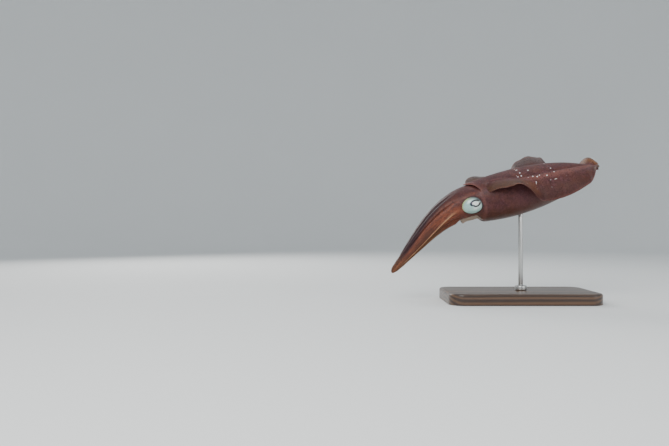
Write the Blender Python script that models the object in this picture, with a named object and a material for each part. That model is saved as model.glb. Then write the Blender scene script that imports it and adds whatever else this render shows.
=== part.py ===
"""Caribbean reef squid, a life-size still model on a display stand.

Frame: +X runs from the arms towards the tail, -Y is the animal's left side and +Z is up. The origin is
the centre of the base's underside. Lengths are in metres and angles in degrees.

The body follows one axis in the XZ plane. "ahead" is a distance along it, positive from the collar
towards the arm tips and negative towards the tail. A cross-section is square to the axis: "around" is an
angle in it, 0 at the back (dorsal) and 180 at the belly, and the two sides mirror each other.
"""

import math
from functools import lru_cache

import bmesh
import bpy
from mathutils import Matrix, Vector

# Where the animal hangs over its base
COLLAR_X = -0.056
COLLAR_HEIGHT = 0.127
BODY_PITCH = 15.6
ARM_PITCH = 50.4
BEND_LENGTH = 0.093
BEND_EASE = 0.7
AXIS_STEPS = 40

# Mantle
MANTLE_LENGTH = 0.163
MANTLE_RADIUS = 0.0299
MANTLE_FULLEST = 0.30
COLLAR_NARROWING = 0.11
NAPE_FULLNESS = 0.04
BELLY_FULLNESS = 0.03
TAIL_BLUNTNESS = 0.75
TAIL_CROWDING = 1.5
COLLAR_SETBACK = 0.008
NAPE_LOBE = 0.014
NAPE_LOBE_ANGLE = 35
THROAT_LOBE = 0.005
THROAT_LOBE_ANGLE = 22
THROAT_LOBE_AROUND = 150
LIP_THICKNESS = 0.0014
WALL_THICKNESS = 0.0028
POCKET_DEPTH = 0.0135

# Fins
FIN_START = 0.085
FIN_END = 1.015
FIN_WIDTH = 0.037
FIN_FRONT_ROUNDING = 0.35
FIN_REAR_FULLNESS = 3.3
FIN_REAR_ROUNDING = 0.58
FIN_PROFILE_PEAK = 0.78
FIN_ROOT_THICKNESS = 0.0030
FIN_EDGE_THICKNESS = 0.0009
FIN_ROOT_FRONT = 46
FIN_ROOT_MIDDLE = 68
FIN_ROOT_BACK = 60
FIN_ROOT_FALL = (0.10, 0.42)
FIN_ROOT_RISE = (0.75, 1.0)
FIN_ROOT_DEPTH = 0.003
FIN_HINGE = 0.18
FIN_SWEEP_END = 0.25
FIN_REAR_SWEEP_SPAN = (0.84, 0.96)
FIN_STEPS = 12

# The fins' waves: a share of the mantle's length, then the root's and the edge's angle above the
# horizontal. The left fin droops gently, hangs down the mantle's side and turns up at the tail. The right
# one has a shorter wave, with broad crests at the front, the middle and the tail. Its front lobe is held
# further forward, and its rear lobe further back.
LEFT, RIGHT = -1.0, 1.0
SIDE_NAMES = {LEFT: "left", RIGHT: "right"}
FIN_FORWARD_SWEEP = {LEFT: 0.002, RIGHT: 0.020}
FIN_REAR_SWEEP = {LEFT: 0.000, RIGHT: 0.0045}
FIN_WAVES = {
    LEFT: (
        (0.08, -42, -78),
        (0.18, -15, -42),
        (0.31, -3, -24),
        (0.51, -58, -108),
        (0.86, -24, -78),
        (1.00, 10, 16),
    ),
    RIGHT: (
        (0.08, 46, 66),
        (0.20, 18, 27),
        (0.29, -38, -54),
        (0.49, 37, 57),
        (0.57, 43, 65),
        (0.68, 34, 52),
        (0.83, -38, -54),
        (1.00, 43, 72),
    ),
}

# Head and the cone of arms in front of it
HEAD_DEPTH = 0.0224
HEAD_LIFT = 0.0022
HEAD_LIFT_FRONT = 0.008
NECK_NARROWING = 0.0010
NECK_FLARE = 0.0030
NECK_FLARE_PLACE = -0.0070
NECK_FLARE_LENGTH = 0.0085
THROAT_FULLNESS = 0.0038
NECK_BACK = -0.0125
NECK_FRONT = 0.004
ARM_BASE = 0.031
TAPER_START = 0.0120
TAPER_EASE = 0.08
ARM_TIP = 0.1418
TIP_RADIUS = 0.0036
BROW_AHEAD = 0.0074
BROW_BULGE = 0.0036
BROW_LENGTH = 0.0150

# Eyes
EYE_AHEAD = 0.00635
EYE_HALF_LENGTH = 0.01455
EYE_HALF_HEIGHT = 0.01113
EYE_HALF_DEPTH = 0.0085
EYE_LATERAL = 0.0208
EYE_DROP = 0.00347

# Funnel under the head
FUNNEL_BACK = -0.006
FUNNEL_FRONT = 0.026
FUNNEL_BACK_DROP = 0.0150
FUNNEL_FRONT_DROP = 0.0178
FUNNEL_BACK_RADIUS = 0.0080
FUNNEL_FRONT_RADIUS = 0.0048
FUNNEL_BORE_RADIUS = 0.0032
FUNNEL_BORE_DEPTH = 0.008

# Arms: each takes a share of the half-circle from back to belly, and reaches a fraction of the cone's length
ARM_SHARES = {"arm_1": 0.18, "arm_2": 0.19, "arm_3": 0.34, "tentacle": 0.09, "arm_4": 0.20}
ARM_REACH = {"arm_1": 0.80, "arm_2": 0.90, "arm_3": 1.0, "tentacle": 1.0, "arm_4": 0.96}
ARM_LENGTHS = {"base": 0.068, "middle": 0.104, "tip": 0.148}
ARM_ROWS = 5
ARM_HALF_DEPTH = 0.36
ARM_SQUARENESS = 2.6
TENTACLE_SEAT = 0.74
ARM_NARROWING = 0.6
ARM_CLOSED = 1.25
ARM_ROUNDED_FROM = 0.86
ARM_ROUNDED_TO = 1.005

# Stand
BASE_LENGTH = 0.190
BASE_WIDTH = 0.110
BASE_HEIGHT = 0.014
BASE_CORNER = 0.018
BASE_CHAMFER = 0.0025
ROD_X = 0.004
ROD_RADIUS = 0.003
FERRULE_RADIUS = 0.0075
FERRULE_HEIGHT = 0.006

GAP = 0.0003
MERGE = 1e-6

SKIN_MAROON = (0.085, 0.028, 0.026)
ARM_RUSSET = (0.155, 0.050, 0.028)
FUNNEL_BUFF = (0.42, 0.33, 0.28)
EYE_SILVER = (0.55, 0.63, 0.62)
WALNUT = (0.075, 0.038, 0.020)
STEEL = (0.62, 0.62, 0.61)


def mix(start, end, share):
    return start + (end - start) * share


def smoothstep(low, high, value):
    share = min(max((value - low) / (high - low), 0.0), 1.0)
    return share * share * (3.0 - 2.0 * share)


def bell(value, width):
    return math.exp(-((value / width) ** 2))


# The body axis


def pitch(ahead):
    """The axis' slope below the horizontal, in radians. It bends soonest in the head."""
    bend = max(ahead / BEND_LENGTH, 0.0) ** BEND_EASE
    return math.radians(mix(BODY_PITCH, ARM_PITCH, smoothstep(0.0, 1.0, bend)))


@lru_cache(maxsize=None)
def axis_point(ahead):
    steps = 1 if ahead <= 0 else AXIS_STEPS
    x, z = COLLAR_X, COLLAR_HEIGHT
    for step in range(steps):
        slope = pitch(ahead * (step + 0.5) / steps)
        x -= math.cos(slope) * ahead / steps
        z -= math.sin(slope) * ahead / steps
    return x, z


def in_section(ahead, lateral, up):
    """The point of the cross-section at ahead that is lateral towards +Y and up towards the back."""
    x, z = axis_point(ahead)
    slope = pitch(ahead)
    return Vector((x - up * math.sin(slope), lateral, z + up * math.cos(slope)))


def in_head(ahead, lateral, up):
    """The same for the head and what it carries, which sit a little high in the mantle."""
    return in_section(ahead, lateral, up + HEAD_LIFT * smoothstep(NECK_BACK, HEAD_LIFT_FRONT, ahead))


# Making solids


def material(name, colour, roughness, metallic=0.0):
    made = bpy.data.materials.new(name)
    made.use_nodes = True
    shader = made.node_tree.nodes["Principled BSDF"]
    shader.inputs["Base Color"].default_value = (*colour, 1.0)
    shader.inputs["Roughness"].default_value = roughness
    shader.inputs["Metallic"].default_value = metallic
    return made


def add_object(name, bm, finish):
    mesh = bpy.data.meshes.new(name)
    bm.to_mesh(mesh)
    bm.free()
    made = bpy.data.objects.new(name, mesh)
    bpy.context.scene.collection.objects.link(made)
    if finish:
        made.data.materials.append(finish)
        made.data.shade_smooth()
        made.data.set_sharp_from_angle(angle=math.radians(50))
    else:
        made.hide_render = True
        made.display_type = "WIRE"
    return made


def wrapped(name, rows, columns, point, finish=None):
    """A closed solid: a flat grid of rows by columns, wrapped so that grid corner (row, column) is at
    point(row, column). Rows or columns that fall together are merged, and flat ends are capped."""
    bm = bmesh.new()
    bmesh.ops.create_grid(bm, x_segments=rows, y_segments=columns, size=1.0)
    for vertex in bm.verts:
        row = round((vertex.co.x + 1.0) / 2.0 * rows)
        column = round((vertex.co.y + 1.0) / 2.0 * columns)
        vertex.co = point(row, column)
    bmesh.ops.remove_doubles(bm, verts=bm.verts, dist=MERGE)
    open_edges = [edge for edge in bm.edges if edge.is_boundary]
    bmesh.ops.holes_fill(bm, edges=open_edges, sides=0)
    bmesh.ops.recalc_face_normals(bm, faces=bm.faces)
    return add_object(name, bm, finish)


def cut(target, cutter):
    modifier = target.modifiers.new("clear_of_" + cutter.name, "BOOLEAN")
    modifier.operation = "DIFFERENCE"
    modifier.solver = "EXACT"
    modifier.object = cutter


# Mantle


def mantle_radius(behind, around):
    share = behind / MANTLE_LENGTH
    if share < MANTLE_FULLEST:
        narrowing = COLLAR_NARROWING - NAPE_FULLNESS * math.cos(around)
        taper = 1 - narrowing * (1 - share / MANTLE_FULLEST) ** 2
    else:
        rear = min((share - MANTLE_FULLEST) / (1 - MANTLE_FULLEST), 1.0)
        taper = (1 - rear**2) ** TAIL_BLUNTNESS
    return MANTLE_RADIUS * taper * (1 - BELLY_FULLNESS * math.cos(around))


def margin(around):
    """How far behind the collar's centre the mantle's edge lies: a lobe on the nape, two at the throat."""
    degrees = math.degrees(abs(around))
    nape = NAPE_LOBE * bell(degrees, NAPE_LOBE_ANGLE)
    throat = THROAT_LOBE * bell(degrees - THROAT_LOBE_AROUND, THROAT_LOBE_ANGLE)
    return COLLAR_SETBACK - nape - throat


def mantle_surface(behind, around, grown):
    radius = mantle_radius(behind, around) + grown
    return in_section(-behind, radius * math.sin(around), radius * math.cos(around))


def add_mantle(finish):
    outer_rows, columns = 20, 36

    def point(row, column):
        around = math.pi - 2 * math.pi * column / columns
        front = margin(around)
        if row <= outer_rows:
            reach = (row / outer_rows) ** TAIL_CROWDING
            return mantle_surface(mix(MANTLE_LENGTH, front, reach), around, 0.0)
        if row == outer_rows + 1:
            return mantle_surface(front + LIP_THICKNESS / 2, around, -LIP_THICKNESS)
        if row == outer_rows + 2:
            return mantle_surface(POCKET_DEPTH, around, -WALL_THICKNESS)
        return in_section(-POCKET_DEPTH, 0.0, 0.0)

    return wrapped("mantle", outer_rows + 3, columns, point, finish)


def add_mantle_cutter():
    """The mantle with its pocket filled, grown by the gap, for the fins and the rod to be cut back to."""
    rows, columns = 21, 36

    def point(row, column):
        around = math.pi - 2 * math.pi * column / columns
        if row == rows:
            return in_section(0.0, 0.0, 0.0)
        reach = (row / (rows - 1)) ** TAIL_CROWDING
        behind = mix(MANTLE_LENGTH + GAP, margin(around) - GAP, reach)
        grown = GAP * 1.3 if row else 0.0
        return mantle_surface(min(behind, MANTLE_LENGTH + GAP), around, grown)

    return wrapped("mantle_cutter", rows, columns, point)


# Fins


def fin_angles(side, share):
    """Root and edge angles above the horizontal, eased from each of the wave's stations to the next."""
    stations = FIN_WAVES[side]
    for (low, *before), (high, *after) in zip(stations, stations[1:]):
        if share <= high:
            break
    return [mix(old, new, smoothstep(low, high, share)) for old, new in zip(before, after)]


def fin_width(share):
    along = min(max((share - FIN_START) / (FIN_END - FIN_START), 0.0), 1.0)
    profile = along**FIN_FRONT_ROUNDING * (1 - along**FIN_REAR_FULLNESS) ** FIN_REAR_ROUNDING
    return FIN_WIDTH * profile / FIN_PROFILE_PEAK


def fin_root(share):
    """The angle around the mantle at which the fin leaves it, in radians."""
    down = mix(FIN_ROOT_FRONT, FIN_ROOT_MIDDLE, smoothstep(*FIN_ROOT_FALL, share))
    return math.radians(mix(down, FIN_ROOT_BACK, smoothstep(*FIN_ROOT_RISE, share)))


def fin_line(share, side, out):
    """Lateral and up of the fin's middle surface at a fraction out from root to edge, and its direction."""
    root = fin_root(share)
    radius = mantle_radius(share * MANTLE_LENGTH, root)
    lateral = max(radius * math.sin(root) - FIN_ROOT_DEPTH, (FIN_ROOT_THICKNESS + GAP) / 2)
    up = radius * math.cos(root)
    at_root, at_edge = fin_angles(side, share)
    width = fin_width(share) + FIN_ROOT_DEPTH
    angle = 0.0
    for step in range(FIN_STEPS):
        there = out * (step + 0.5) / FIN_STEPS
        settled = smoothstep(0.0, FIN_HINGE, there)
        angle = math.radians(mix(90 - math.degrees(root), mix(at_root, at_edge, there), settled))
        lateral += math.cos(angle) * width * out / FIN_STEPS
        up += math.sin(angle) * width * out / FIN_STEPS
    return lateral, up, angle


def fin_sweep(share, side, out):
    """How far ahead of its root a point of the fin lies: the front lobe ahead, the rear lobe behind."""
    forward = FIN_FORWARD_SWEEP[side] * (1 - smoothstep(0.0, FIN_SWEEP_END, share))
    return out * (forward - FIN_REAR_SWEEP[side] * smoothstep(*FIN_REAR_SWEEP_SPAN, share))


def add_fin(side, finish):
    rows, reach = 34, 7
    columns = 2 * reach + 2

    def point(row, column):
        along = 0.5 - 0.5 * math.cos(math.pi * mix(0.06, 0.97, row / rows))
        share = mix(FIN_START, FIN_END, along)
        top = column <= reach or column == columns
        out = (column % columns if top else columns - 1 - column) / reach
        lateral, up, angle = fin_line(share, side, out)
        half = mix(FIN_ROOT_THICKNESS, FIN_EDGE_THICKNESS, out**0.7) / 2 * (1 if top else -1)
        lateral -= math.sin(angle) * half
        up += math.cos(angle) * half
        ahead = fin_sweep(share, side, out) - share * MANTLE_LENGTH
        return in_section(ahead, side * lateral, up)

    return wrapped("fin_" + SIDE_NAMES[side], rows, columns, point, finish)


# Head, eyes and funnel


def cone_radius(ahead):
    """Half-depth of the head and of the bundle of arms."""
    along = (ahead - TAPER_START) / (ARM_TIP - TAPER_START)
    eased = (along + math.hypot(along, TAPER_EASE)) / 2
    neck = NECK_NARROWING * (1 - smoothstep(NECK_BACK, NECK_FRONT, ahead))
    return HEAD_DEPTH - (HEAD_DEPTH - TIP_RADIUS) * min(eased, 1.0) - neck


def head_half_width(ahead):
    """Half-width of the head: it bulges over the eyes and flares to fill the mantle's mouth."""
    brow = BROW_BULGE * bell(ahead - BROW_AHEAD, BROW_LENGTH)
    return cone_radius(ahead) + brow + NECK_FLARE * bell(ahead - NECK_FLARE_PLACE, NECK_FLARE_LENGTH)


def throat(ahead, around):
    """How much lower the neck's underside lies than the head's, to fill the mantle's mouth there too."""
    return THROAT_FULLNESS * bell(ahead - NECK_FLARE_PLACE, NECK_FLARE_LENGTH) * max(-math.cos(around), 0) ** 4


def add_head(finish):
    rows, columns = 13, 28

    def point(row, column):
        around = 2 * math.pi * column / columns
        ahead = mix(NECK_BACK, ARM_BASE - GAP, row / rows)
        lateral = head_half_width(ahead) * math.sin(around)
        return in_head(ahead, lateral, cone_radius(ahead) * math.cos(around) - throat(ahead, around))

    return wrapped("head", rows, columns, point, finish)


def add_eye(name, side, grown, finish=None):
    bm = bmesh.new()
    bmesh.ops.create_uvsphere(bm, u_segments=18, v_segments=10, radius=1.0)
    size = (EYE_HALF_LENGTH + grown, EYE_HALF_DEPTH + grown, EYE_HALF_HEIGHT + grown)
    turn = Matrix.Rotation(-pitch(EYE_AHEAD), 4, "Y")
    where = Matrix.Translation(in_head(EYE_AHEAD, side * EYE_LATERAL, -EYE_DROP))
    bm.transform(where @ turn @ Matrix.Diagonal((*size, 1.0)))
    return add_object(name, bm, finish)


def funnel_place(ahead, lateral, up):
    along = (ahead - FUNNEL_BACK) / (FUNNEL_FRONT - FUNNEL_BACK)
    return in_head(ahead, lateral, up - mix(FUNNEL_BACK_DROP, FUNNEL_FRONT_DROP, along))


def add_funnel(name, grown, finish=None):
    """A tapering tube, its mouth open in front. The cutter for its groove is grown and has no bore."""
    columns, outer = 16, 6
    bore = finish is not None

    def point(row, column):
        around = 2 * math.pi * column / columns
        along = min(row / outer, 1.0)
        ahead = mix(FUNNEL_BACK - grown, FUNNEL_FRONT + grown, along)
        radius = mix(FUNNEL_BACK_RADIUS, FUNNEL_FRONT_RADIUS, smoothstep(0, 1, along)) + grown
        if row > outer:
            radius = FUNNEL_BORE_RADIUS
        if row > outer + 1:
            ahead -= FUNNEL_BORE_DEPTH
        return funnel_place(ahead, radius * math.sin(around), radius * math.cos(around))

    return wrapped(name, outer + (2 if bore else 0), columns, point, finish)


# Arms and tentacles


def arm_end(kind):
    return mix(ARM_BASE, ARM_TIP, ARM_REACH[kind])


def used_length(kind, ahead):
    return (ahead - ARM_BASE) / (arm_end(kind) - ARM_BASE)


def share_of(kind, ahead):
    """The part of the half-circle an arm takes: it narrows to its tip, and its neighbours close in past it."""
    used = used_length(kind, ahead)
    narrowing = 1 - ARM_NARROWING * min(used, 1.0) ** 3
    return ARM_SHARES[kind] * narrowing * (1 - smoothstep(1.0, ARM_CLOSED, used))


def sector(kind, ahead):
    """The middle angle and half-angle of an arm's sector, in radians from the back."""
    shares = {other: share_of(other, ahead) for other in ARM_SHARES}
    scale = math.pi / sum(shares.values())
    before = 0.0
    for other, share in shares.items():
        if other == kind:
            break
        before += share * scale
    half = shares[kind] * scale / 2
    return before + half, half


def arm_section(kind, ahead, turn):
    """Radial and tangential place on an arm's outline, which stays in its own sector."""
    _, half = sector(kind, ahead)
    radius = cone_radius(ahead)
    seat = radius * (TENTACLE_SEAT if kind == "tentacle" else 1 - ARM_HALF_DEPTH)
    half_width = seat * math.tan(half) - GAP * 0.7
    half_depth = min(radius * ARM_HALF_DEPTH, half_width * 1.5)
    if kind != "tentacle":
        seat = radius - half_depth
        half_width = min(half_width, seat * math.tan(half) - GAP * 0.7)
    used = used_length(kind, ahead)
    near_end = max((used - ARM_ROUNDED_FROM) / (ARM_ROUNDED_TO - ARM_ROUNDED_FROM), 0.0)
    rounding = math.sqrt(max(1 - near_end**2, 0.0))
    power = 2 / ARM_SQUARENESS
    deep = math.copysign(abs(math.cos(turn)) ** power, math.cos(turn)) * half_depth * rounding
    wide = math.copysign(abs(math.sin(turn)) ** power, math.sin(turn)) * half_width * rounding
    return seat + deep, wide * (seat + deep) / seat


def add_arm(kind, side, length, stations, finish):
    columns = 6 if kind == "tentacle" else 8

    def point(row, column):
        turn = 2 * math.pi * column / columns
        ahead = stations[row]
        middle, _ = sector(kind, ahead)
        radial, wide = arm_section(kind, ahead, turn)
        lateral = radial * math.sin(middle) + wide * math.cos(middle)
        up = radial * math.cos(middle) - wide * math.sin(middle)
        return in_head(ahead, side * lateral, up)

    stem, _, number = kind.partition("_")
    label = "_".join(filter(None, (stem, SIDE_NAMES[side], number, length)))
    return wrapped(label, len(stations) - 1, columns, point, finish)


def add_arms(finish):
    """Neighbouring arms have their sections at the same places, so that they keep their gap all the way."""
    for side in (LEFT, RIGHT):
        for kind in ARM_SHARES:
            start = ARM_BASE
            for length, end in ARM_LENGTHS.items():
                shared = [mix(start, end, row / ARM_ROWS) for row in range(ARM_ROWS + 1)]
                last = min(end, arm_end(kind))
                stations = [ahead for ahead in shared if ahead < last - 0.001] + [last]
                add_arm(kind, side, length, stations, finish)
                start = end + GAP


# Stand


def add_base(finish):
    """A rounded rectangular board with a chamfered upper edge."""
    bm = bmesh.new()
    bmesh.ops.create_cube(bm, size=1.0)
    bm.transform(Matrix.Diagonal((BASE_LENGTH, BASE_WIDTH, BASE_HEIGHT, 1.0)))
    bm.transform(Matrix.Translation((0, 0, BASE_HEIGHT / 2)))
    corners = [edge for edge in bm.edges if abs(edge.verts[0].co.z - edge.verts[1].co.z) > MERGE]
    bmesh.ops.bevel(bm, geom=corners, offset=BASE_CORNER, segments=5, profile=0.5, affect="EDGES")
    rim = [edge for edge in bm.edges if all(v.co.z > BASE_HEIGHT - MERGE for v in edge.verts)]
    bmesh.ops.bevel(bm, geom=rim, offset=BASE_CHAMFER, segments=2, profile=0.5, affect="EDGES")
    return add_object("stand_base", bm, finish)


def upright(name, radius, bottom, top, finish):
    bm = bmesh.new()
    bmesh.ops.create_cone(bm, cap_ends=True, segments=16, radius1=radius, radius2=radius, depth=top - bottom)
    bm.transform(Matrix.Translation((ROD_X, 0, (top + bottom) / 2)))
    return add_object(name, bm, finish)


def add_stand(board, metal, mantle_cutter):
    add_base(board)
    foot = BASE_HEIGHT + GAP
    ferrule = upright("stand_ferrule", FERRULE_RADIUS, foot, foot + FERRULE_HEIGHT, metal)
    rod = upright("stand_rod", ROD_RADIUS, foot + FERRULE_HEIGHT + GAP, COLLAR_HEIGHT + 0.01, metal)
    cut(rod, mantle_cutter)
    return ferrule, rod


def main():
    for old in list(bpy.data.objects):
        bpy.data.objects.remove(old)
    skin = material("maroon_skin", SKIN_MAROON, 0.35)
    russet = material("russet_skin", ARM_RUSSET, 0.35)
    pale = material("pale_flesh", FUNNEL_BUFF, 0.4)
    silver = material("silver_eye", EYE_SILVER, 0.15)
    wood = material("walnut", WALNUT, 0.45)
    steel = material("brushed_steel", STEEL, 0.3, 1.0)

    add_mantle(skin)
    mantle_cutter = add_mantle_cutter()
    for side in (LEFT, RIGHT):
        cut(add_fin(side, skin), mantle_cutter)
    head = add_head(russet)
    for side in (LEFT, RIGHT):
        add_eye("eye_" + SIDE_NAMES[side], side, 0.0, silver)
        cut(head, add_eye(f"socket_{SIDE_NAMES[side]}_cutter", side, GAP))
    add_funnel("funnel", 0.0, pale)
    cut(head, add_funnel("funnel_cutter", GAP))
    add_arms(russet)
    add_stand(wood, steel, mantle_cutter)


main()
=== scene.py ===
"""Looks of the Caribbean reef squid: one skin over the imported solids, its eyes, the stand and the studio.

Frame: +X runs from the arms towards the tail, -Y is the animal's left side and +Z is up. Lengths are in
metres and angles in degrees, unless a name says otherwise. The body follows one axis in the plane of
symmetry. "ahead" is a distance along it, positive from the collar towards the arm tips. In a section
square to the axis "around" is an angle in radians, 0 at the back and pi at the belly.
"""

import logging
import math
from collections.abc import Callable
from dataclasses import dataclass, field
from enum import Enum
from functools import lru_cache

import bmesh
import bpy
import numpy as np
from mathutils import Matrix, Vector, noise
from mathutils.kdtree import KDTree

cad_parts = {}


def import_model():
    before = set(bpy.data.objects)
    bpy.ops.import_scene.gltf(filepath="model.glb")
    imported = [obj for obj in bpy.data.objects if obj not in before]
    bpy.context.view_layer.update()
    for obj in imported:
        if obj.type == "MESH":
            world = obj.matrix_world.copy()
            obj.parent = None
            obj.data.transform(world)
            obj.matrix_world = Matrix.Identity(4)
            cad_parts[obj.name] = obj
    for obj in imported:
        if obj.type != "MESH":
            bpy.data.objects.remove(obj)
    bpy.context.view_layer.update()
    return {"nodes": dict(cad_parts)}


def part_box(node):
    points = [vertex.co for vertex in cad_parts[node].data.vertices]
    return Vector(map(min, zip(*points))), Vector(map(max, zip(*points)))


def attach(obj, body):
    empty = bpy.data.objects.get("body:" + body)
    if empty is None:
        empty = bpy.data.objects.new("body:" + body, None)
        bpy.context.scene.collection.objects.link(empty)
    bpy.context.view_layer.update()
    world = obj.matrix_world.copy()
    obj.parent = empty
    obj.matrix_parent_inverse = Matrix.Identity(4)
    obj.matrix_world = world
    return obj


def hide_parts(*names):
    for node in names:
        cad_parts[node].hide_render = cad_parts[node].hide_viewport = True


LOG = logging.getLogger("reef_squid")
BODY = "root"

Colour = tuple[float, float, float]
Traits = dict[str, float]
Socket = bpy.types.NodeSocket
Input = Socket | float | Colour
Placer = Callable[[int, int], Vector]


class Side(Enum):
    """The animal's two sides, as the sign of Y."""

    LEFT = -1.0
    RIGHT = 1.0

    @property
    def word(self) -> str:
        """The side's name in node and piece names."""
        return self.name.lower()


class Trait(Enum):
    """What a point of the skin knows about its place, stored as a mesh attribute of this name."""

    AHEAD = "ahead"
    BACK = "back"
    FIN = "fin_out"
    # painted shade: darkening in the mantle's pocket, in the grooves of the arms and the funnel, and in the
    # funnel's bore
    LIP = "lip"
    DEEP = "deep"
    ACROSS = "across"
    ARM = "arm_number"
    KEEL = "keel"
    LID = "lid"
    WARM = "warm"
    RAISED = "raised"
    PALE = "pale"


def mix(start: float, end: float, share: float) -> float:
    """The value a share of the way from start to end."""
    return start + (end - start) * share


def smoothstep(low: float, high: float, value: float) -> float:
    """0 below low, 1 above high, and a smooth rise between them."""
    share = min(max((value - low) / (high - low), 0.0), 1.0)
    return share * share * (3.0 - 2.0 * share)


def bell(value: float, width: float) -> float:
    """A bell curve of height 1 whose value falls to 1/e a width away."""
    return math.exp(-((value / width) ** 2))


@dataclass
class SkinPoint:
    """One point of the skin.

    Attributes:
        place: Its position.
        traits: What it knows of where it is on the animal.
    """

    place: Vector
    traits: Traits = field(default_factory=dict)


@dataclass(frozen=True)
class BodyAxis:
    """The curve that the body follows in its plane of symmetry."""

    collar_x: float = -0.056
    collar_height: float = 0.127
    body_pitch: float = 15.6
    arm_pitch: float = 50.4
    bend_length: float = 0.093
    bend_ease: float = 0.7
    steps: int = 40
    head_lift: float = 0.0022
    head_lift_back: float = -0.0125
    head_lift_front: float = 0.008

    def pitch(self, ahead: float) -> float:
        """The axis' slope below the horizontal, in radians."""
        bend = max(ahead / self.bend_length, 0.0) ** self.bend_ease
        return math.radians(mix(self.body_pitch, self.arm_pitch, smoothstep(0.0, 1.0, bend)))

    @lru_cache(maxsize=4096)
    def centre(self, ahead: float) -> tuple[float, float]:
        """X and Z of the axis at a distance ahead of the collar."""
        steps = 1 if ahead <= 0 else self.steps
        x, z = self.collar_x, self.collar_height
        for step in range(steps):
            slope = self.pitch(ahead * (step + 0.5) / steps)
            x -= math.cos(slope) * ahead / steps
            z -= math.sin(slope) * ahead / steps
        return x, z

    def place(self, ahead: float, lateral: float, up: float) -> Vector:
        """The point of the section at ahead that is lateral towards +Y and up towards the back."""
        x, z = self.centre(ahead)
        slope = self.pitch(ahead)
        return Vector((x - up * math.sin(slope), lateral, z + up * math.cos(slope)))

    def lift(self, ahead: float) -> float:
        """How much higher than the axis the head sits in the mantle."""
        return self.head_lift * smoothstep(self.head_lift_back, self.head_lift_front, ahead)

    def place_head(self, ahead: float, lateral: float, up: float) -> Vector:
        """The same for the head and what it carries."""
        return self.place(ahead, lateral, up + self.lift(ahead))


@dataclass(frozen=True)
class Mantle:
    """The sack of the body: a pointed barrel with a lobed front margin round a shallow pocket."""

    length: float = 0.163
    radius: float = 0.0299
    fullest: float = 0.30
    collar_narrowing: float = 0.11
    nape_fullness: float = 0.04
    belly_fullness: float = 0.03
    tail_bluntness: float = 0.75
    collar_setback: float = 0.008
    nape_lobe: float = 0.014
    nape_lobe_angle: float = 35
    throat_lobe: float = 0.005
    throat_lobe_angle: float = 22
    throat_lobe_around: float = 150
    lip_thickness: float = 0.0014
    lip_thinning: float = 0.75
    seal_above: tuple[float, float] = (42, 66)
    seal_below: tuple[float, float] = (150, 172)
    throat_slack: float = 0.08
    wall_thickness: float = 0.0028
    pocket_depth: float = 0.0132
    tail_core: float = 0.0014
    tail_core_start: float = 0.965

    def radius_at(self, behind: float, around: float) -> float:
        """The section's radius at a distance behind the collar."""
        share = behind / self.length
        if share < self.fullest:
            narrowing = self.collar_narrowing - self.nape_fullness * math.cos(around)
            taper = 1 - narrowing * (1 - share / self.fullest) ** 2
        else:
            rear = min((share - self.fullest) / (1 - self.fullest), 1.0)
            taper = (1 - rear**2) ** self.tail_bluntness
        return self.radius * taper * (1 - self.belly_fullness * math.cos(around))

    def core_at(self, share: float, end: float) -> float:
        """The radius of the gristly tip that the two fins share behind the mantle's point.

        Args:
            share: Distance behind the collar over the mantle's length.
            end: The share at which the fins end.

        Returns:
            A radius that rises in front of the tip and is 0 at the fins' end.
        """
        beyond = (share - self.tail_core_start) / (end - self.tail_core_start)
        return self.tail_core * math.sqrt(max(1 - max(beyond, 0.0) ** 2, 0.0))

    def margin(self, around: float) -> float:
        """How far behind the collar's centre the mantle's front edge lies."""
        degrees = math.degrees(abs(around))
        nape = self.nape_lobe * bell(degrees, self.nape_lobe_angle)
        throat = self.throat_lobe * bell(degrees - self.throat_lobe_around, self.throat_lobe_angle)
        return self.collar_setback - nape - throat

    def seal(self, around: float) -> float:
        """How closely the margin hugs the neck: 1 on the flanks, less at the throat and 0 at the nape."""
        degrees = math.degrees(abs(around))
        slack = self.throat_slack * smoothstep(*self.seal_below, degrees)
        return smoothstep(*self.seal_above, degrees) * (1 - slack)

    def lip_at(self, around: float) -> float:
        """The margin's thickness, which is least on the flanks."""
        return self.lip_thickness * (1 - self.lip_thinning * self.seal(around))


@dataclass(frozen=True)
class FinStation:
    """One place along a fin's wave: its share of the mantle's length and two angles above the horizontal."""

    share: float
    root: float
    edge: float


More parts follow.
